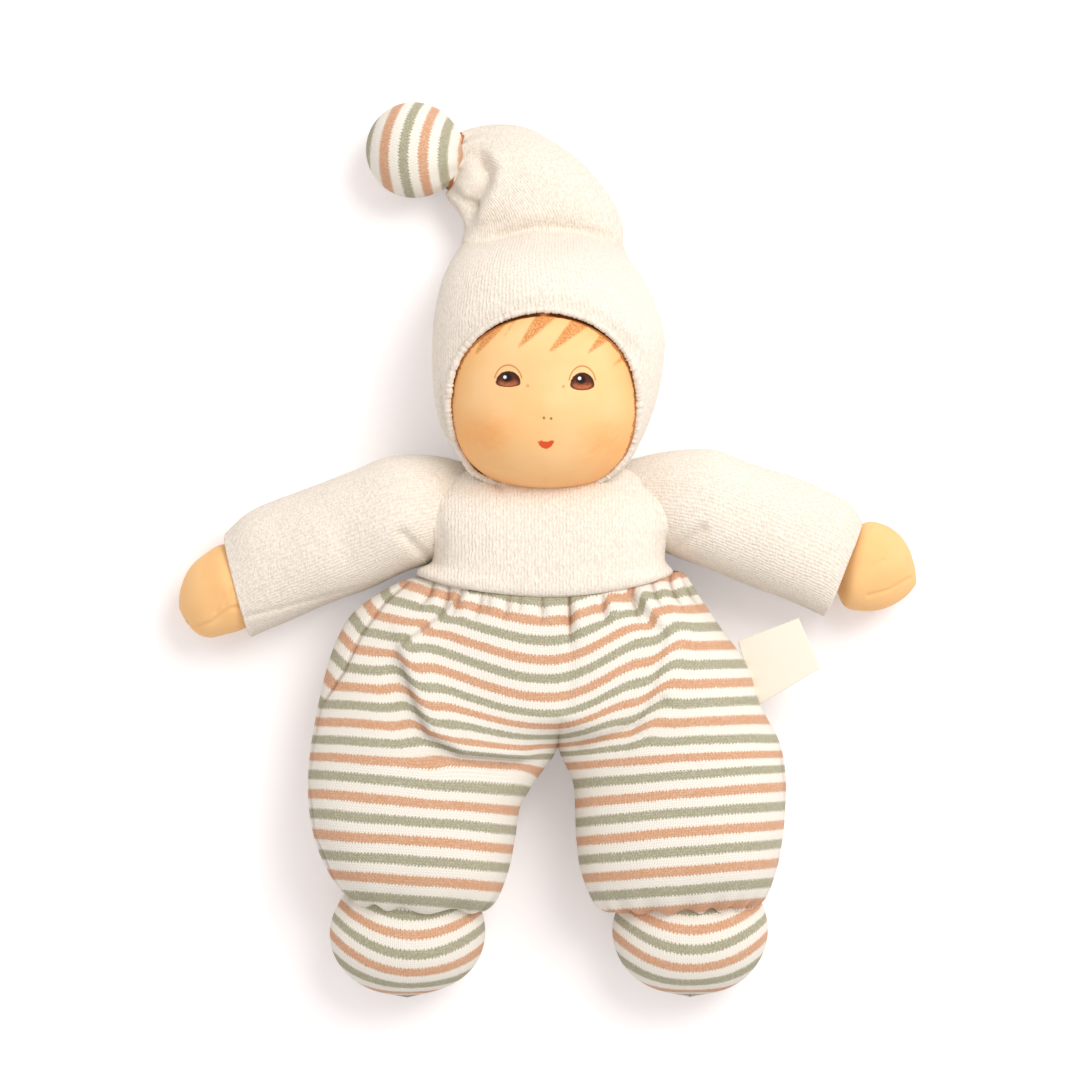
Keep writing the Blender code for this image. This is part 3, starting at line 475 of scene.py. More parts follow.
# %% [markdown]
# ## The head
#
# A wound wool ball in jersey, broad at the cheeks. Its outline follows superellipses whose fullness
# is 2.5 at the chin and 2.1 at the crown, and the front carries a low nose and shallow eye hollows.

# %% Head shape
HEAD_ROWS, HEAD_COLUMNS = 230, 280
HEAD_MIDDLE = (0.0, 60.0, 35.5)
HEAD_HALF = (35.0, 40.6, 33.2)
CROWN_HALF = 34.0


def head_points():
    """y = y0 - b cos(t); half width and half depth = a sin(t)^(2 / p), p falling from 2.5 to 2.1."""
    along, turn = grid_of(HEAD_ROWS, HEAD_COLUMNS)
    angle = np.pi * (0.012 + 0.976 * along)
    turn = turn + 0.55 * np.sin(turn)
    fullness = 2.5 - 0.4 * ease(along, 0.35, 0.6)
    size = np.sin(angle) ** (2 / fullness)
    lengthwise = np.sign(np.cos(angle)) * abs(np.cos(angle)) ** (2 / fullness)
    x = HEAD_MIDDLE[0] + HEAD_HALF[0] * size * np.sin(turn)
    y = HEAD_MIDDLE[1] - np.where(along < 0.5, HEAD_HALF[1], CROWN_HALF) * lengthwise
    front = ease(np.cos(turn), 0, 0.6)
    z = HEAD_MIDDLE[2] + HEAD_HALF[2] * size * np.cos(turn)
    nose = 0.5 * bell(x, -0.3, 3.6) * bell(y, 45.2, 4.2)
    hollows = -0.2 * (bell(x, -13, 7) + bell(x, 11.6, 7)) * bell(y, 56, 6)
    cheeks = 0.7 * (bell(x, -18, 9) + bell(x, 18, 9)) * bell(y, 38, 9)
    z = z + front * (nose + hollows + cheeks) + 0.15 * wander(x, y, 9, SEED)
    return np.stack([x, y, settle(z)], -1)


RIM_TOP, CHIN_EDGE = 77.3, 18.5


def rim_place(y, side):
    """x of the hood's rim at a place along the head; side is -1 for the left edge and 1 for the right."""
    arch = -1.3 + side * 31.0 * np.sqrt(np.clip(1 - ((y - 50) / (RIM_TOP - 50)) ** 2, 0, 1))
    if side < 0:
        jaw = spline(y, [18.5, 21, 24, 29.7, 35.3, 41.7, 46, 50], [-8, -16, -22.8, -27.8, -30.6, -32.2, -32.7, -32.6])
    else:
        jaw = spline(y, [18.5, 21, 24, 26.3, 29.7, 36.2, 45.4, 50], [7, 14, 20, 22.6, 25.6, 28.4, 29.9, 30.0])
    return np.where(y >= 50, arch, jaw)


def stroke_distance(x, y, start, end, width):
    """A tapering pencil stroke: distance to its axis less a width that falls to zero at its end."""
    (ax, ay), (bx, by) = start, end
    t = ((x - ax) * (bx - ax) + (y - ay) * (by - ay)) / ((bx - ax) ** 2 + (by - ay) ** 2)
    off = abs((x - ax) * (by - ay) - (y - ay) * (bx - ax)) / math.hypot(bx - ax, by - ay)
    return np.where(t > 1, 9, off - width * (1 - np.clip(t, 0, 1)) ** 0.8)


def face_marks(points):
    """Distances to the painted shapes, with x and y on the front of the head."""
    x, y = as_seen(points)
    behind = 60.0 * (points[..., 2] < HEAD_MIDDLE[2] + 2)
    lip_x = x + 0.55
    drop = np.clip((35.9 - y) / 2.9, 0, 1)
    lips = np.maximum(abs(lip_x) - 2.8 * (1 - drop**1.8) ** 0.6, y - 35.9 + 0.45 * bell(lip_x, 0, 0.9))
    tufts = [
        ((509, 306), (475, 355), 3.5), ((553, 307), (517, 349), 3.3), ((587, 315), (548, 353), 3.2),
        ((616, 325), (587, 354), 2.5), ((632, 351), (612, 366), 1.2), ((524, 306), (503, 338), 0.6),
    ]
    hair = np.full(x.shape, 9.0)
    for start, end, width in tufts:
        hair = np.minimum(hair, stroke_distance(x, y, *at_pixels(start, end), width))
    hair = hair + 9 * (y < 58)
    blush_and_chin_shade = 0.85 * bell(x, -20.5, 10) * bell(y, 38, 7.5) + 0.8 * bell(x, 20, 10) * bell(y, 36, 8)
    # A band along the chin in the blush colour: painted shade under the chin.
    blush_and_chin_shade = np.clip(blush_and_chin_shade + 0.45 * bell(y, 20, 8.0), 0, 1)
    rim = np.minimum(x - rim_place(y, -1), rim_place(y, 1) - x)
    arch = 50 + 29.6 * np.sqrt(np.clip(1 - ((x + 1.3) / 31.3) ** 2, 0, 1))
    rim = np.where(y > 50, np.minimum(rim, arch - y), rim)
    marks = {"lips": lips + behind, "hair": hair + behind, "face": np.stack([x, y + behind, 0 * x], -1)}
    marks["blush_and_chin_shade"] = blush_and_chin_shade * (behind == 0)
    marks["rim"] = rim
    return marks


head_grid = head_points()
head_marks = face_marks(head_grid)
head_marks["weave"] = np.stack([head_grid[..., 0], head_grid[..., 1], 0 * head_grid[..., 0]], -1)
tucked = 0.085 * ease(-head_marks["rim"], 0.2, 3.2)
head_grid = HEAD_MIDDLE + (head_grid - HEAD_MIDDLE) * (1 - tucked[..., None])
head = cloth("head", head_grid, FACE_SKIN, poles=(True, True), marks=head_marks)


# %% [markdown]
# ## The cap
#
# One tube of terry from the neck to the tie. Each row runs from an inner to an outer point, and the
# rows turn round the bend of the tip. In front of the face the tube is open along the rim.

# %% Cap shape
CAP_ROWS_RIM, CAP_ROWS_TIP, CAP_COLUMNS = 110, 150, 220
RIM_STATION = 9
CAP_STATIONS = np.array([
    # inner x, y, outer x, y, lowest and highest z
    (-10.0, 18.5, 9.0, 18.5, 24.0, 40.0), (-18.0, 21.0, 16.5, 21.0, 17.0, 46.0),
    (-24.6, 24.5, 23.5, 24.5, 12.0, 52.0), (-28.8, 29.5, 27.6, 29.5, 8.0, 60.0),
    (-32.6, 35.0, 30.6, 35.0, 4.5, 63.5), (-35.6, 41.0, 33.4, 41.0, 2.0, 66.5),
    (-37.5, 50.0, 36.4, 50.0, 0.3, 69.7), (-38.2, 60.0, 38.3, 60.0, 0.0, 71.2),
    (-38.1, 70.0, 38.8, 70.0, 0.0, 70.6), (-37.5, 77.3, 37.0, 77.3, 0.0, 68.2),
    (-35.7, 86.5, 33.4, 86.5, 0.0, 63.2), (-33.4, 93.0, 29.5, 93.0, 0.0, 56.0),
    (-31.0, 98.0, 26.9, 97.5, 0.0, 46.0), (-29.3, 101.5, 26.0, 101.0, 0.0, 35.0),
    (-28.6, 104.3, 25.7, 104.5, 0.0, 27.5), (-28.0, 107.0, 25.1, 108.5, 0.0, 26.0),
    (-28.8, 110.5, 22.8, 114.5, 0.0, 27.0), (-31.0, 113.9, 18.0, 122.3, 0.0, 27.0),
    (-33.2, 116.6, 10.5, 130.6, 0.0, 26.0), (-34.2, 118.6, 1.0, 137.6, 0.0, 24.0),
    (-34.0, 119.8, -9.0, 142.4, 0.3, 21.5), (-33.4, 120.0, -18.0, 143.0, 0.8, 19.5),
    (-32.9, 119.7, -25.0, 141.0, 1.2, 19.5), (-33.0, 120.0, -28.0, 139.6, 2.0, 20.0),
])
TIP_FOLD = at_pixels((480, 160), (487, 169), (484, 184), (477, 196), (466, 215))
SMALL_FOLD = at_pixels((452, 190), (462, 201), (470, 208))


def cap_stations():
    """Station number of each row; rows crowd where the rim runs level at its top."""
    whole = np.arange(len(CAP_STATIONS))
    y_table = spline(np.linspace(0, RIM_STATION, 400), whole, CAP_STATIONS[:, 1])
    climb = np.linspace(0, 1, CAP_ROWS_RIM)
    y_rim = CHIN_EDGE + (RIM_TOP - CHIN_EDGE) * (0.85 * np.sin(np.pi / 2 * climb) + 0.15 * climb)
    lower = np.interp(y_rim, y_table, np.linspace(0, RIM_STATION, 400))
    return np.concatenate([lower, np.linspace(RIM_STATION, len(whole) - 1, CAP_ROWS_TIP + 1)[1:]])


def rim_gap(x, y):
    """Millimetres from the rim outwards over the hood's front."""
    below = np.maximum(rim_place(y, -1) - x, x - rim_place(y, 1))
    above = (np.hypot((x + 1.3) / 31, (y - 50) / (RIM_TOP - 50)) - 1) * 29
    return np.where(y > 50, above, below)


def head_height(x, y):
    """Height of the head's front over a point, from the same superellipse as the head."""
    lengthwise = np.clip(abs(y - HEAD_MIDDLE[1]) / np.where(y < HEAD_MIDDLE[1], HEAD_HALF[1], CROWN_HALF), 0, 1)
    fullness = np.where(y < HEAD_MIDDLE[1], 2.5, 2.1)
    size = np.clip(1 - lengthwise**fullness, 1e-6, 1) ** (1 / fullness)
    return HEAD_MIDDLE[2] + HEAD_HALF[2] * size * np.sqrt(np.clip(1 - (x / (HEAD_HALF[0] * size)) ** 2, 0, 1))


def cap_points():
    """P = middle + half (cos a) + up (sin a), with a running from the rim's left edge to its right."""
    station = cap_stations()[:, None]
    whole = np.arange(len(CAP_STATIONS))
    inner_x, inner_y, outer_x, outer_y, low, high = (spline(station, whole, CAP_STATIONS[:, k]) for k in range(6))
    middle_x, half_x = (inner_x + outer_x) / 2, (outer_x - inner_x) / 2
    middle_y, half_y = (inner_y + outer_y) / 2, (outer_y - inner_y) / 2
    y = np.clip(middle_y, CHIN_EDGE, RIM_TOP)
    first = np.arccos(np.clip((rim_place(y, -1) - middle_x) / half_x, -1, 1))
    last = np.arccos(np.clip((rim_place(y, 1) - middle_x) / half_x, -1, 1)) + 2 * np.pi
    closed = ease(station, RIM_STATION, RIM_STATION + 2.5)
    first, last = first + closed * (np.pi / 2 - first), last + closed * (2.5 * np.pi - last)
    share = np.linspace(0, 1, CAP_COLUMNS)[None, :]
    angle = first + (last - first) * share
    x = middle_x + half_x * np.cos(angle)
    y = middle_y + half_y * np.cos(angle)
    z = (low + high) / 2 + (high - low) / 2 * np.sin(angle)
    upper = ease(y, 55, 68)
    hugging = bell(rim_gap(x, y), 0, 3.0 + 0.8 * upper) * ease(np.sin(angle), 0, 0.3) * (0.45 + 0.55 * upper)
    z = z + hugging * (np.maximum(head_height(x, y) + 0.8, (low + high) / 2) - z)
    points = np.stack([x, y, z], -1)
    near_tie = ease(station, RIM_STATION + 11, len(whole) - 1.0)
    gathers = 0.9 * near_tie * np.cos(angle * 11 + 0.8 * np.sin(3 * angle))
    folds = -4.2 * crease(x, y, TIP_FOLD, 2.6) + 1.2 * crease(x - 4.5, y - 0.5, TIP_FOLD, 3.0)
    folds = folds - 1.8 * crease(x, y, SMALL_FOLD, 1.8)
    seat = -2.3 * bell(station + 1.5 * (x / 27) ** 2, RIM_STATION + 5.8, 0.42) * ease(np.sin(angle), -0.2, 0.6)
    soft = 0.5 * wander(x, y, 6, SEED + 1) * ease(station, RIM_STATION + 1, RIM_STATION + 6)
    points = puff(points, gathers + folds * ease(np.sin(angle), 0.15, 0.6) + seat + soft, around=False)
    points[..., 2] = settle(points[..., 2])
    shut = closed[:, 0] > 0.999
    points[shut, 0] = points[shut, -1] = (points[shut, 0] + points[shut, -1]) / 2
    return points, {"across": 30 * abs(angle - 1.5 * np.pi)}


cap_grid, cap_marks = cap_points()
cap = cloth("cap", cap_grid, TERRY, around=False, weld=0.02, marks=cap_marks)

# %% [markdown]
# The rim is the turned edge of the terry: a bead of cloth that follows the opening.

# %% Cap rim
BEAD_RADIUS, BEAD_STEP = 1.15, 0.4


def tube_along(path, radius, columns, closed=False, wobble=0.0, seed=0):
    """A tube of a radius round a path of points; its sections stand square to the path."""
    path = np.asarray(path, float)
    ahead = np.roll(path, -1, 0) - np.roll(path, 1, 0) if closed else np.gradient(path, axis=0)
    ahead = ahead / np.linalg.norm(ahead, axis=1, keepdims=True)
    side = np.cross(ahead, (0.0, 0.0, 1.0))
    side = side / (np.linalg.norm(side, axis=1, keepdims=True) + 1e-9)
    up = np.cross(side, ahead)
    turn = np.linspace(0, 2 * np.pi, columns, endpoint=False)
    rng = np.random.default_rng(seed)
    size = np.broadcast_to(radius, (len(path),)) * (1 + wobble * rng.standard_normal(len(path)))
    ring = side[:, None] * np.cos(turn)[None, :, None] + up[:, None] * np.sin(turn)[None, :, None]
    return path[:, None] + ring * size[:, None, None]


rim_rows = slice(2, CAP_ROWS_RIM)
rim_path = np.concatenate([cap_grid[rim_rows, 0], cap_grid[rim_rows, -1][::-1]])
rim_path = rim_path[np.r_[True, np.linalg.norm(np.diff(rim_path, axis=0), axis=1) > 0.15]]
walked = np.r_[0, np.cumsum(np.linalg.norm(np.diff(rim_path, axis=0), axis=1))]
even = np.arange(0, walked[-1], BEAD_STEP)
rim_path = np.stack([np.interp(even, walked, rim_path[:, k]) for k in range(3)], -1)
rim = cloth("cap_rim", tube_along(rim_path, BEAD_RADIUS, 14, wobble=0.12, seed=SEED), TERRY, poles=(True, True))


# %% [markdown]
# ## The bobble
#
# A striped ball that ends the cap. Its stripes are rings round the line from the tie to its far
# side, and small gathers run away from the tie.

# %% Bobble shape
STRIPE_PITCH = 6.35
TIE = np.array([-30.8, 130.2])
BOBBLE_MIDDLE = np.array([-44.9, 133.6])
BOBBLE_RADIUS = 16.0


def bobble_points():
    """P = middle - r cos(t) axis + r sin(t) (side cos(a) + up sin(a)), drawn out to the tie."""
    along, turn = grid_of(150, 200)
    axis = (BOBBLE_MIDDLE - TIE) / np.linalg.norm(BOBBLE_MIDDLE - TIE)
    angle = np.pi * (0.05 + 0.945 * along)
    reach = -BOBBLE_RADIUS * np.cos(angle) - 1.2 * bell(angle, 0, 0.7)
    gathers = 1 + 0.05 * bell(angle, 0.45, 0.35) * np.cos(9 * turn + 1.2 * np.sin(2 * turn))
    ring = BOBBLE_RADIUS * np.sin(angle) * gathers
    x = BOBBLE_MIDDLE[0] + reach * axis[0] - ring * np.cos(turn) * axis[1]
    y = BOBBLE_MIDDLE[1] + reach * axis[1] + ring * np.cos(turn) * axis[0]
    z = 16.0 + ring * np.sin(turn)
    off_axis = y - BOBBLE_MIDDLE[1]
    stripe = 3.9 - (reach + BOBBLE_RADIUS) / STRIPE_PITCH + 0.02 * off_axis - 0.0021 * off_axis**2
    weave = np.stack([turn * 16, stripe * STRIPE_PITCH, stripe], -1)
    return np.stack([x, y, settle(z)], -1), {"weave": weave}


bobble_grid, bobble_marks = bobble_points()
bobble = cloth("bobble", bobble_grid, STRIPED, poles=(True, True), marks=bobble_marks)

# %% [markdown]
# ## Bodice, neck and sleeves
#
# The bodice is a tube of terry from the waist seam to the neck. Each sleeve starts inside it, so
# that a valley forms where they meet, and ends in a turned cuff.

# %% Bodice
BODICE_ROWS = np.array([
    # y at the sides, half width, middle x, lowest and highest z
    (-10.5, 41.4, -0.8, 0.0, 48.2), (-8.0, 41.9, -0.8, 0.0, 49.6), (-4.0, 38.6, 0.4, 0.0, 50.2),
    (2.0, 39.2, 0.6, 0.0, 50.0), (8.0, 42.0, 0.6, 0.0, 49.0), (14.0, 42.5, 0.6, 0.4, 46.8),
    (19.0, 39.5, 0.6, 2.0, 43.6), (24.0, 33.0, 0.6, 6.0, 38.0), (28.0, 22.0, 0.6, 12.0, 32.0),
    (29.6, 10.0, 0.6, 17.0, 27.0),
])
NECK_FOLDS = [
    (at_pixels((480, 474), (492, 479), (500, 488)), -2.2, 1.5), (at_pixels((612, 470), (640, 484)), -1.3, 1.3),
    (at_pixels((606, 478), (632, 492)), -1.1, 1.2), (at_pixels((437, 563), (441, 540), (436, 512)), -1.8, 2.2),
    (at_pixels((664, 556), (655, 520), (644, 490)), -1.8, 2.2),
]


def fold(points, folds):
    """The sum of a list of creases (line, depth in millimetres, width) on the upper side."""
    x, y = points[..., 0], points[..., 1]
    return sum(depth * crease(x, y, line, width) for line, depth, width in folds)


def waist_line(x):
    """How far below the sides the waist seam hangs in front: 6.8 (1 - (x / 42)^2)."""
    return 6.8 * np.clip(1 - ((x + 0.8) / 42) ** 2, 0, 1)


def bodice_points():
    """A superellipse tube of fullness 2.5 whose front edge hangs along the waist line."""
    along, turn = grid_of(150, 300)
    row = along * (len(BODICE_ROWS) - 1)
    y, half, middle, low, high = (spline(row, np.arange(len(BODICE_ROWS)), BODICE_ROWS[:, k]) for k in range(5))
    c, s = rounded(turn, 2.8 - 0.45 * ease(along, 0.35, 0.7))
    x = middle + half * c
    z = (low + high) / 2 + (high - low) / 2 * s
    y = y - waist_line(x) * ease(s, -0.6, 0.8) * (1 - ease(along, 0, 0.6))
    points = np.stack([x, y, z], -1)
    seam = -1.6 * bell(along, 0, 0.05) + 0.7 * bell(along, 0.13, 0.07)
    points = puff(points, seam + 0.5 * wander(x, y, 9, SEED + 2) * np.ones_like(x))
    points[..., 2] = settle(points[..., 2] + fold(points, NECK_FOLDS) * (s > 0))
    return points


bodice_grid = bodice_points()
bodice = cloth("bodice_terry", bodice_grid, TERRY, poles=(False, True), marks={"across": bodice_grid[..., 0]})

# %% Sleeves
SLEEVES = {
    "left": np.array([
        # upper x, y, lower x, y, lowest and highest z
        (-22, 27.2, -22, 5.5, 2.0, 27.0), (-38, 31.0, -37.5, -4.2, 0.2, 38.5), (-53.2, 30.7, -48, -8.6, 0.0, 42.0),
        (-65.5, 26.1, -60, -13.6, 0.0, 40.0), (-77.5, 21.5, -71, -18.1, 0.0, 38.0), (-89, 16.8, -81.5, -22.4, 0.0, 36.0),
        (-100.5, 11.6, -92, -26.7, 0.0, 34.0), (-108.3, 5, -99.2, -29.9, 0.0, 31.0),
    ], float),
    "right": np.array([
        (22, 28.2, 22, 6.5, 2.0, 27.0), (40, 32.4, 38.5, -1.0, 0.2, 38.5), (55.8, 32.7, 49, -5.1, 0.0, 42.0),
        (67.5, 28.9, 60.5, -9.7, 0.0, 40.0), (79.5, 24.5, 71.5, -14.1, 0.0, 38.0), (91, 20.3, 81, -17.9, 0.0, 36.0),
        (101, 15.5, 89, -21, 0.0, 34.0), (105.8, 9.6, 92.6, -22.5, 0.0, 31.0),
    ], float),
}
SLEEVE_FOLDS = {
    "left": [(at_pixels((436, 562), (420, 550), (404, 534)), -2.0, 1.8), (at_pixels((367, 585), (300, 603), (245, 617)), -0.8, 0.9),
             (at_pixels((300, 490), (340, 520), (352, 560)), -0.7, 5.0)],
    "right": [(at_pixels((665, 552), (684, 544), (700, 530)), -2.0, 1.8), (at_pixels((716, 592), (760, 605), (828, 612)), -0.8, 0.9),
              (at_pixels((770, 480), (748, 520), (742, 570)), -0.7, 5.0)],
}
CUFF_TURN = [
    # share of the last 40 mm reached and millimetres turned in; the last rings are a lining behind the hand
    (1.0, 0.0), (1.012, -0.6), (1.006, -1.5), (0.985, -2.1), (0.95, -2.4), (0.925, -3.4), (0.915, -6.0), (0.91, -12.0),
]


def sleeve_points(table, folds, seed):
    """Rows from the upper to the lower edge of the arm; the last rows turn in at the cuff."""
    along, turn = grid_of(170, 220)
    along = np.concatenate([along, np.full((len(CUFF_TURN), along.shape[1]), 1.0)])
    turn = np.concatenate([turn, turn[: len(CUFF_TURN)]])
    place = along * (len(table) - 1)
    ux, uy, lx, ly, low, high = (spline(place, np.arange(len(table)), table[:, k]) for k in range(6))
    c, s = rounded(turn, 2.25)
    x, y = (ux + lx) / 2 + (ux - lx) / 2 * c, (uy + ly) / 2 + (uy - ly) / 2 * c
    points = np.stack([x, y, (low + high) / 2 + (high - low) / 2 * s], -1)
    soft = 0.55 * wander(x, y, 7, seed) * ease(along, 0.1, 0.3)
    points = puff(points, soft)
    points[..., 2] += fold(points, folds) * (s > 0.1)
    points[..., 2] = settle(points[..., 2])
    count = len(CUFF_TURN)
    edge, before = points[-count - 1], points[-count - 12]
    axis = (edge - before).mean(0) / np.linalg.norm((edge - before).mean(0))
    inwards = edge.mean(0) - edge
    inwards = inwards / np.linalg.norm(inwards, axis=1, keepdims=True)
    for k, (reach, turned) in enumerate(CUFF_TURN):
        points[len(points) - count + k] = edge + axis * 40 * (reach - 1) - inwards * turned
    return points


HAND_FOLDS = [
    (at_pixels((178, 620), (194, 628), (212, 622), (230, 609), (240, 606)), -0.7, 0.6),
    (at_pixels((232, 590), (225, 605)), -0.5, 0.7), (at_pixels((224, 596), (216, 612)), -0.4, 0.8),
    (at_pixels((868, 596), (890, 590), (912, 578)), -0.6, 0.6), (at_pixels((872, 566), (884, 560)), -0.4, 0.7),
]


def hand_points(table):
    """A mitten: rows from the upper to the lower edge, rounded to nothing at the tip."""
    along, turn = grid_of(90, 160)
    place = along * (len(table) - 1)
    ux, uy, lx, ly, depth = (spline(place, np.arange(len(table)), table[:, k]) for k in range(5))
    c, s = rounded(turn, 2.1)
    x, y = (ux + lx) / 2 + (ux - lx) / 2 * c, (uy + ly) / 2 + (uy - ly) / 2 * c
    z = 13.6 + 2.4 * (1 - ease(along, 0.35, 0.75)) + depth / 2 * s
    bumps = 0.3 * wander(x, y, 5, SEED + 5) * np.sin(np.pi * along)
    points = np.stack([x, y, z], -1)
    points = puff(points, bumps + fold(points, HAND_FOLDS) * (s > -0.1))
    points[..., 2] = settle(points[..., 2])
    weave = np.stack([12 * turn / np.pi, 32 * along, 0 * along], -1)
    return points, {"weave": weave}


HANDS = {
    "left": np.array([
        # upper x, y, lower x, y and depth
        (-96.0, -5.0, -93.2, -16.4, 11.0), (-99.9, -1.4, -95.1, -21.2, 19.5), (-102.9, 0.4, -96.6, -24.0, 24.5),
        (-109.5, 1.2, -102.5, -27.4, 28.0),
        (-114.6, -1.4, -108.5, -29.0, 25.5), (-118.8, -5.0, -113.5, -29.9, 22.5), (-121.7, -9.4, -117.8, -28.6, 17.5),
        (-123.4, -14.2, -121.2, -25.2, 10.5), (-123.8, -18.0, -123.2, -21.5, 3.4), (-123.85, -19.4, -123.8, -20.2, 0.8),
    ]),
    "right": np.array([
        (97.9, 1.8, 95.3, -10.0, 11.0), (101.7, 5.5, 97.3, -14.9, 19.5), (107.6, 8.6, 100.0, -19.8, 28.0),
        (113.4, 7.6, 105.5, -21.3, 25.5), (117.8, 4.8, 111.0, -20.9, 22.5), (121.2, 0.2, 116.0, -19.2, 17.5),
        (123.2, -5.4, 120.4, -16.4, 10.5), (123.9, -9.8, 123.3, -13.0, 3.4), (124.0, -11.2, 123.9, -11.8, 0.8),
    ]),
}
sleeves, hands = {}, {}
for number, side in enumerate(("left", "right")):
    sleeve_grid = sleeve_points(SLEEVES[side], SLEEVE_FOLDS[side], SEED + 10 + number)
    ribs = np.linspace(0, 120, sleeve_grid.shape[1])[None, :] + np.zeros(sleeve_grid.shape[:2])
    sleeves[side] = cloth(f"sleeve_{side}_terry", sleeve_grid, TERRY, poles=(True, True), marks={"across": ribs})
    hand_grid, hand_marks = hand_points(HANDS[side])
    hands[side] = cloth(f"hand_{side}", hand_grid, SKIN, poles=(True, True), marks=hand_marks)

# %% [markdown]
# ## The trousers
#
# Each half is a grid whose rows run from the middle seam round the front, the outer side and the
# back to the middle seam again. Above the crotch a row is open along that seam, and below it the
# row closes to the tube of a leg. A share of zero is the middle seam and one is the outer side.

# %% Trousers
WAIST_DROP = 6.6
CROTCH_TOP, CROTCH = -54.0, -66.6
DEPTH_MIDDLE, ANKLE_DROP = 24.4, 5.4
LEGS = {
    "left": np.array([
        # outer x, y, inner x, y, half depth
        (-42.2, -9.6, 4, -16.2, 23.2), (-47.8, -10.8, 4, -20.5, 25.4), (-56.5, -15.6, 4, -27.5, 25.6),
        (-65.4, -22.5, 4, -35.5, 25.4), (-71.2, -33.5, 4, -46.0, 25.2), (-75.2, -46.5, 4, -56.5, 25.0),
        (-78.2, -61.5, 3.2, -66.6, 24.8), (-79.7, -75.0, -4.0, -78.0, 24.8), (-79.7, -86.5, -9.0, -86.5, 24.8),
        (-77.9, -97.0, -10.9, -97.0, 24.4), (-73.6, -107.0, -13.2, -107.5, 22.8), (-67.9, -115.0, -17.0, -116.5, 18.5),
        (-63.0, -118.6, -21.8, -120.6, 14.5), (-60.5, -118.4, -26.0, -119.8, 11.5), (-60.0, -115.5, -28.5, -116.5, 10.5),
    ], float),
    "right": np.array([
        (40.6, -8.4, 4, -16.2, 23.2), (45.6, -8.6, 4, -20.5, 25.4), (51.0, -17.0, 4, -27.5, 25.6),
        (57.5, -26.6, 4, -35.5, 25.4), (66.0, -38.6, 4, -46.0, 25.2), (71.2, -52.6, 4, -56.5, 25.0),
        (77.4, -64.5, 3.8, -66.6, 24.8), (79.4, -76.0, 8.6, -78.0, 24.8), (79.0, -87.0, 9.3, -87.5, 24.8),
        (78.2, -97.0, 9.8, -97.5, 24.4), (76.6, -107.0, 11.2, -107.5, 22.8), (73.4, -115.6, 14.6, -116.0, 18.5),
        (69.2, -119.4, 18.6, -120.4, 14.5), (66.0, -119.2, 25.0, -120.0, 11.5), (63.5, -116.0, 29.0, -117.0, 10.5),
    ], float),
}
PLEATS = [
    # pixel where a pleat starts at the seam, its run to the lower left, and depth
    ((452, 588), (-12, 30), 1.3), ((464, 592), (-10, 26), 1.1), ((485, 594), (-8, 26), 1.0), ((492, 595), (-4, 20), 0.7),
    ((511, 597), (-6, 24), 1.0), ((521, 597), (-1, 18), 0.7), ((543, 598), (-1, 24), 0.9), ((569, 598), (1, 50), 1.7),
    ((602, 596), (3, 26), 1.0), ((631, 591), (8, 30), 1.2), ((650, 586), (10, 24), 1.0), ((669, 581), (12, 28), 1.2),
    ((438, 583), (-18, 26), 1.2), ((684, 577), (16, 34), 1.2),
]
BELLY_FOLDS = [
    (at_pixels((576, 746), (606, 738), (634, 724), (660, 700)), -2.0, 2.4),
    (at_pixels((569, 620), (569, 668), (566, 705)), -0.6, 2.2),
]
OVERHANGS = [
    # a line, how much its left side stands over its right one, how sharply, how far, and the stripes' shift
    (at_pixels((406, 664), (411, 680), (418, 700), (430, 730), (462, 751), (520, 757)), 2.3, 1.1, 9.0, -0.75),
    (at_pixels((637, 598), (657, 619), (666, 633), (657, 677), (649, 701), (637, 725)), 0.9, 2.2, 9.0, 0.55),
    (at_pixels((467, 590), (450, 608), (430, 625), (410, 640)), 1.1, 0.8, 5.0, -0.40),
    (at_pixels((603, 590), (606, 612)), 0.6, 0.8, 4.0, 0.35),
    (at_pixels((625, 584), (641, 604), (652, 620)), 0.8, 0.8, 4.0, 0.40),
]
SEAMS = {
    "left": at_pixels((408, 582), (386, 602), (363, 633), (345, 671), (321, 705), (313, 747), (309, 781), (314, 833), (332, 874), (350, 906)),
    "right": at_pixels((692, 574), (716, 604), (740, 636), (762, 680), (778, 724), (784, 780), (784, 830), (776, 880), (764, 908)),
}
SCALLOPS = {"left": 4.6, "right": 9.0}


def stripe_number(x, y, side):
    """Stripe count at a point of the front: a smile that grows weaker down to the level legs."""
    px, py = 547.5 + 3 * x, 548 - 3 * y
    bump = np.exp(-(((px - 550) / np.where(px < 550, 130, 85)) ** 2))
    n = (py - 625) / 38
    for _ in range(8):
        n = (py - 607 - (53 - 43 * ease(n, 1, 4.5)) * bump) / 38
    leg = (py - 768 - 0.08 * (px - 460)) / 39 if side == "left" else (py - 762 + 0.08 * (px - 620)) / 38.2
    return 2 * (n + (leg + 4 - n) * ease(py, 735, 778))


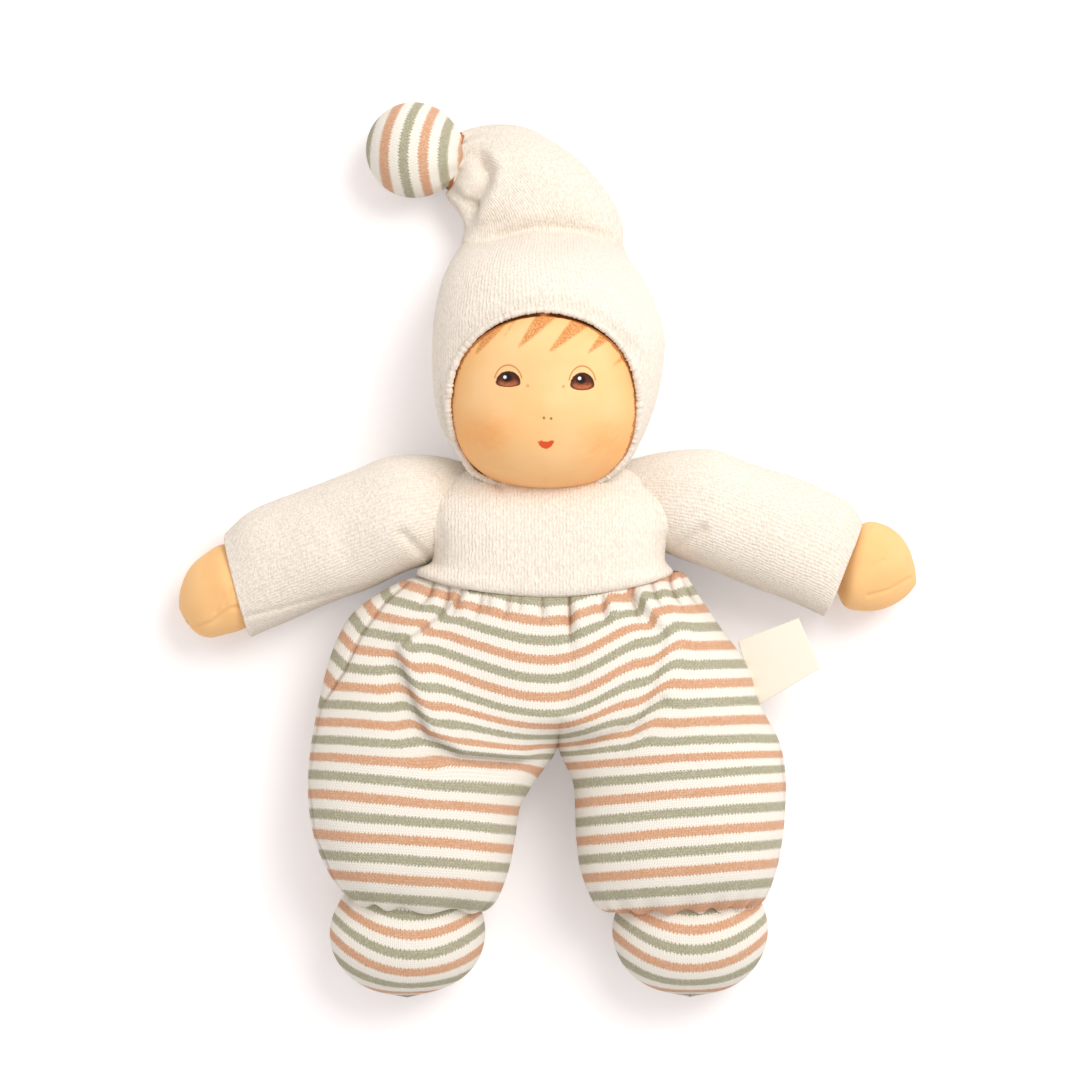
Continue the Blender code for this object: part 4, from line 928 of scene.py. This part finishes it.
def trouser_points(side):
    """x = xm + (x_in - xm) cos a inside, xm + (x_out - xm) |cos a| outside; z = zc + d sin a, flat at the seam."""
    table, sign = LEGS[side], -1 if side == "left" else 1
    rows, columns = 250, 330
    along = np.linspace(0, 1, rows)[:, None]
    a = 2 * np.pi * np.linspace(0, 1, columns)[None, :]
    place = along * (len(table) - 1)
    ox, oy, ix, iy, depth = (spline(place, np.arange(len(table)), table[:, k]) for k in range(5))
    closing = np.clip((CROTCH_TOP - iy) / (CROTCH_TOP - CROTCH), 0, 1)
    round_off = ease(closing, 0, 1)
    middle = ix + (ox - ix) * (0.12 + 0.38 * ease(iy, CROTCH_TOP + 22, CROTCH - 6))
    c, s = rounded(a, 2.3)
    inner = c > 0
    x = np.where(inner, middle + (ix - middle) * c, middle + (ox - middle) * -c)
    lift = np.where(inner, np.sign(np.sin(a) + 1e-12) * (1 - round_off) + round_off * s, s)
    lift[:, -1] = np.where(inner[:, -1], -(1 - round_off[:, 0]), lift[:, -1])
    z = DEPTH_MIDDLE - ANKLE_DROP * ease(place, 10.5, 13.5) + depth * lift
    share = np.clip((x - ix) / (ox - ix), 0, 1)
    front = np.maximum(ease(lift, -0.7, 0.7), ease(iy, CROTCH_TOP + 26, CROTCH_TOP))
    y = oy + (iy - oy) * (1 - share**2) * front
    points = np.stack([x, y, z], -1)
    waist = ease(place, 0, 1.2)
    belly = 1.6 * bell(x, -2, 40) * bell(y, -36, 22) * (lift > 0)
    soft = 0.45 * wander(x, y, 8, SEED + 20) * ease(place, 0.4, 2) * (1 - ease(place, 12, 13.5))
    height = belly + soft
    # dark collects painted shade for the mark "deep": in the pleats, under the overhanging folds and along the side
    # seam.
    pleats, dark, shift = 0, 0, 0
    for (px, py), (run, fall), deep in PLEATS:
        line = at_pixels((px, py - 6), (px + 0.5 * run, py + 0.5 * fall), (px + run, py + fall))
        width = 1.3 + 0.06 * np.clip(line[0][1] - y, 0, 12)
        fade = 1 - ease(line[0][1] - y, 0.35 * fall / 3 + 2, fall / 3 + 4)
        pleats = pleats - deep * 1.25 * crease(x, y, line, width) * fade
        pleats = pleats + deep * 0.55 * crease(x - 2.2, y, line, width * 1.2) * fade
        dark = np.maximum(dark, 0.6 * deep * crease(x, y, line, 0.6) * fade)
    for line, step, sharp, reach, jog in OVERHANGS:
        away, over = across(x, y, line)
        edge = step * waist * np.tanh(over / sharp) * np.exp(-((away / reach) ** 2))
        height = height + edge * ease(lift, 0.1, 0.5) * ease(share, 0.02, 0.2)
        shift = shift + jog * over / (0.6 * reach) * np.exp(-((away / (0.6 * reach)) ** 2))
        dark = np.maximum(dark, 0.25 * step * bell(over, -0.6, 0.7) * bell(away, 0, 1.6))
    height = height + (pleats * waist + fold(points, BELLY_FOLDS)) * (lift > 0.2)
    height = height - 0.8 * crease(x, y, SEAMS[side], 0.8) * ease(lift, 0.1, 0.5)
    # A thin line of painted shade along the side seam.
    dark = np.maximum(dark, 0.75 * crease(x, y, SEAMS[side], 0.45)) * ease(lift, 0.1, 0.5)
    hem = ease(place, 10.2, 12.2)
    waves = np.cos(2 * np.pi * SCALLOPS[side] * (a / np.pi) + 1.1 * np.sin(3 * a))
    height = height + hem * 0.9 * waves
    back_pleats = 0.5 * bell(place, 0.8, 0.8) * np.cos(46 * a / np.pi) * (lift < -0.2)
    points = puff(points, height + back_pleats, around=False)
    for edge in (0, -1):
        points[:, edge, 0] = np.where(place[:, 0] > 5.9, (points[:, 0, 0] + points[:, -1, 0]) / 2, ix[:, 0])
    joined = place[:, 0] > 5.98
    middle_edge = (points[:, 0] + points[:, -1]) / 2
    points[joined, 0] = middle_edge[joined]
    points[joined, -1] = middle_edge[joined]
    points[..., 2] = settle(points[..., 2])
    stripe = stripe_number(*as_seen(points), side)
    outside = seam_distance(x, y, SEAMS[side], sign)
    stripe = stripe + 0.10 * np.clip(outside, 0, 30) * ease(y, -75, -40) + 0.05 * wander(x, y, 7, SEED + 21)
    stripe = stripe + (shift + 0.08 * pleats * waist) * ease(lift, 0.1, 0.5)
    step_round = np.linalg.norm(np.diff(points, axis=1), axis=2)
    u = np.concatenate([np.zeros((rows, 1)), np.cumsum(step_round, 1)], 1)
    weave = np.stack([u, stripe * STRIPE_PITCH, stripe], -1)
    return points, {"weave": weave, "deep": np.clip(dark, 0, 1)}


def seam_distance(x, y, line, sign):
    """Millimetres that a point lies outside the side seam, along x."""
    ys = [p[1] for p in line][::-1]
    xs = [p[0] for p in line][::-1]
    return sign * (x - np.interp(y, ys, xs))


trousers = {}
for side in ("left", "right"):
    leg_grid, leg_marks = trouser_points(side)
    trousers[side] = cloth(f"trousers_{side}", leg_grid, STRIPED, around=False, marks=leg_marks, weld=0.02)

# %% [markdown]
# ## The feet
#
# Each foot is a ball of the same knit, drawn in at the ankle, with its stripes in arcs.

# %% Feet
FEET = {"left": (-47.0, -128.6, 415, 933), "right": (47.9, -128.4, 692, 928)}


def foot_points(side):
    """x = xc + 26.2 cos(t) cos(a), y = yc - 21.4 sin(t), z = 18 + 17.9 cos(t) sin(a)."""
    xc, yc, arc_px, arc_py = FEET[side]
    along, turn = grid_of(130, 200)
    t = -0.95 + (np.pi / 2 + 0.94) * along
    c, s = rounded(turn, 2.1)
    size = np.cos(t) ** 0.93
    x = xc + 26.0 * size * c
    y = yc - 21.4 * np.sin(t) * (1 - 0.04 * s * (t > 0))
    z = 18.0 + 17.9 * size * s
    points = np.stack([x, y, z], -1)
    gathers = 0.7 * bell(t, -0.7, 0.3) * np.cos(13 * turn + np.sin(3 * turn))
    points = puff(points, gathers + 0.3 * wander(x, y, 7, SEED + 30))
    points[..., 2] = settle(points[..., 2])
    toeward = 19.8 * np.arcsin(np.clip((yc - y) / 21.4, 0, 1))
    px, py = 547.5 + 3 * x, 548 - 3 * (yc + np.where(y > yc, y - yc, -toeward))
    stripe = (py + 0.005 * (px - arc_px) ** 2 - arc_py) / 19
    weave = np.stack([turn * 24, stripe * STRIPE_PITCH, stripe], -1)
    return points, {"weave": weave}


feet = {}
for side in ("left", "right"):
    foot_grid, foot_marks = foot_points(side)
    feet[side] = cloth(f"foot_{side}_knit", foot_grid, STRIPED, poles=(True, True), marks=foot_marks)

# %% [markdown]
# ## Label, neck and tie
#
# The side label is a blank woven ribbon caught in the right side seam. Thread is wound round the
# tie of the cap.

# %% Small pieces
def plain_material(name, tint, strength=0.2, scale=1800.0):
    material, nodes, shader = new_material(name)
    place = nodes.add("ShaderNodeTexCoord").outputs["Object"]
    bump = nodes.add("ShaderNodeBump", {"Height": nodes.noise(place, scale), "Strength": strength, "Distance": 0.0003})
    for key, value in {"Base Color": tint, "Roughness": 0.85, "Normal": bump.outputs[0], "Specular IOR Level": 0.2}.items():
        nodes.give(shader[key], value)
    return material


RIBBON = plain_material("woven_ribbon", colour(238, 229, 213), 0.3, 2600.0)
THREAD = plain_material("cotton_thread", colour(178, 112, 72))
LABEL_CORNERS = at_pixels((738, 641), (798, 618), (820, 668), (757, 706))
LABEL_LENGTH = 21.0
LABEL_THICKNESS = 0.3
FOLD_RADIUS = 0.35


def label_points(offset):
    """A ribbon's face: out along the top, round a half circle of radius r at the fold, and back below.

    With t from 0 to 1 along it and b from -90 to 90 degrees round the fold:
    u = (1 - r) min(1, (0.5 - |t - 0.5|) / 0.48) + r cos b,  h = -r sin b.
    """
    t = np.concatenate([np.linspace(0, 0.48, 50), np.linspace(0.48, 0.52, 17)[1:-1], np.linspace(0.52, 1, 50)])[:, None]
    v = np.linspace(0, 1, 49)[None, :]
    bend = np.pi * np.clip((t - 0.5) / 0.04, -0.5, 0.5)
    straight = (1 - FOLD_RADIUS / LABEL_LENGTH) * np.minimum(1, (0.5 - abs(t - 0.5)) / 0.48)
    radius = FOLD_RADIUS + offset
    u = straight + radius / LABEL_LENGTH * np.cos(bend) + 0 * v
    a, b, c, d = (np.array(p) for p in LABEL_CORNERS)
    flat = (1 - v)[..., None] * (a + (b - a) * u[..., None]) + v[..., None] * (d + (c - d) * u[..., None])
    sag = 0.4 * np.sin(np.pi * straight) * (t > 0.5)
    z = 24.2 + 1.6 * np.sin(np.pi * 0.62 * u) + 0.5 * (v - 0.5) * u - radius * np.sin(bend) - sag
    return np.concatenate([flat, z[..., None]], -1)


label_faces = [label_points(0.5 * LABEL_THICKNESS), label_points(-0.5 * LABEL_THICKNESS)[:, ::-1]]
label = cloth("label_ribbon", np.concatenate(label_faces, 1), RIBBON, poles=(True, True))
neck_rows = np.array([(0.6, y, 21.0) for y in np.linspace(14, 36, 24)])
neck = cloth("neck_knit", tube_along(neck_rows, 6.4, 40), SKIN, poles=(True, True))
tie_turn = np.linspace(0, 2 * np.pi * 4, 190)
tie_axis = (BOBBLE_MIDDLE - TIE) / np.linalg.norm(BOBBLE_MIDDLE - TIE)
tie_side = np.array([-tie_axis[1], tie_axis[0]])
tie_path = np.concatenate([
    TIE + 9.6 * np.cos(tie_turn)[:, None] * tie_side + ((tie_turn / tie_turn[-1] - 0.5) * 1.6)[:, None] * tie_axis,
    (11.5 + 9.0 * np.sin(tie_turn))[:, None],
], 1)
tie = cloth("tie_thread", tube_along(tie_path, 0.35, 8), THREAD, poles=(True, True))


# %% [markdown]
# ## What each piece rides on
#
# The cap, the sleeves and the trousers cross joints and have their transforms applied in place. The others ride on one
# body.

# %% Riding
def at(x, y, z):
    """Millimetres as the metres that the frame uses."""
    return (x * MM, y * MM, z * MM)


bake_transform(cap)
for side, sign in (("left", -1), ("right", 1)):
    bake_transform(sleeves[side])
    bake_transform(trousers[side])
    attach(hands[side], f"hand_{side}")
    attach(feet[side], f"foot_{side}")
for thing, body in ((head, "head"), (rim, "head"), (bobble, "bobble"), (bodice, "torso"), (label, "label"), (neck, "neck"), (tie, "tip")):
    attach(thing, body)

# %% Replaced solids
STANDS_FOR = {
    head: ("skin", ["head_skin", "head_gauze", "head_wool_core"]), cap: ("terry", ["cap_hood", "cap_tip", "tip_wool"]),
    rim: ("terry", []), bobble: ("stripe", ["bobble_cover", "bobble_wool"]), tie: ("thread", ["bobble_thread"]),
    bodice: ("terry", ["bodice", "body_wool", "waist_thread"]), neck: ("thread", ["neck_stem", "neck_thread"]),
    label: ("label", ["side_label"]),
}
for side in ("left", "right"):
    STANDS_FOR[sleeves[side]] = ("terry", [f"sleeve_{side}", f"arm_wool_{side}"])
    STANDS_FOR[hands[side]] = ("skin", [f"hand_skin_{side}", f"hand_wool_{side}"])
    STANDS_FOR[feet[side]] = ("stripe", [f"foot_{side}", f"foot_wool_{side}", f"ankle_thread_{side}"])
    seat = ["trouser_seat"] if side == "left" else []
    STANDS_FOR[trousers[side]] = ("stripe", [f"trouser_leg_{side}", f"leg_wool_{side}", *seat])
for thing, (slot, nodes) in STANDS_FOR.items():
    if nodes:
        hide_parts(*nodes)

# %% [markdown]
# ## Ground, light and camera
#
# The picture looks straight down on a white ground, with one wide soft lamp from the upper right.

# %% Stage
SENSOR = 36.0

ground_data = bpy.data.meshes.new("ground")
ground_data.from_pydata([at(x, y, -0.2) for x, y in ((-2500, -2500), (2500, -2500), (2500, 2500), (-2500, 2500))], [], [(0, 1, 2, 3)])
ground = bpy.data.objects.new("ground", ground_data)
bpy.context.scene.collection.objects.link(ground)
paper, nodes, shader = new_material("white_paper")
path = nodes.add("ShaderNodeLightPath").outputs
seen = nodes.sum("MAXIMUM", path["Is Camera Ray"], nodes.sum("MAXIMUM", path["Is Glossy Ray"], path["Is Transmission Ray"]))
nodes.give(shader["Base Color"], colour(242, 238, 238))
nodes.give(shader["Roughness"], 1.0)
nodes.give(shader["Specular IOR Level"], 0.0)
nodes.give(shader["Emission Color"], colour(255, 252, 253))
nodes.give(shader["Emission Strength"], nodes.sum("MULTIPLY", seen, 0.22))
ground_data.materials.append(paper)

world = bpy.data.worlds.new("white_room")
bpy.context.scene.world = world
world.use_nodes = True
sky = Nodes(world.node_tree)
path = sky.add("ShaderNodeLightPath").outputs
seen = sky.sum("MAXIMUM", path["Is Camera Ray"], sky.sum("MAXIMUM", path["Is Glossy Ray"], path["Is Transmission Ray"]))
background = world.node_tree.nodes["Background"].inputs
sky.give(background["Color"], colour(255, 253, 252))
sky.give(background["Strength"], sky.sum("MULTIPLY_ADD", seen, 0.22, 0.78))

lamp_data = bpy.data.lights.new("wide_lamp", "AREA")
lamp_data.shape, lamp_data.size, lamp_data.size_y = "RECTANGLE", 0.7, 0.7
lamp_data.energy = 11.2
lamp_data.color = (1.0, 0.985, 0.96)
lamp = bpy.data.objects.new("wide_lamp", lamp_data)
bpy.context.scene.collection.objects.link(lamp)
lamp.location = (0.55, 0.60, 1.10)
lamp.rotation_euler = (Vector((0, 0, 0.02)) - lamp.location).to_track_quat("-Z", "Y").to_euler()

camera_data = bpy.data.cameras.new("camera")
camera_data.sensor_width = SENSOR
camera_data.lens = SENSOR * (CAMERA_PLACE[2] - FOCUS_HEIGHT) / FIELD
camera_data.dof.use_dof = False
camera = bpy.data.objects.new("camera", camera_data)
bpy.context.scene.collection.objects.link(camera)
camera.location = at(*CAMERA_PLACE)
bpy.context.scene.camera = camera
bpy.context.scene.view_settings.view_transform = "Standard"

# %% Last update
bpy.context.view_layer.update()
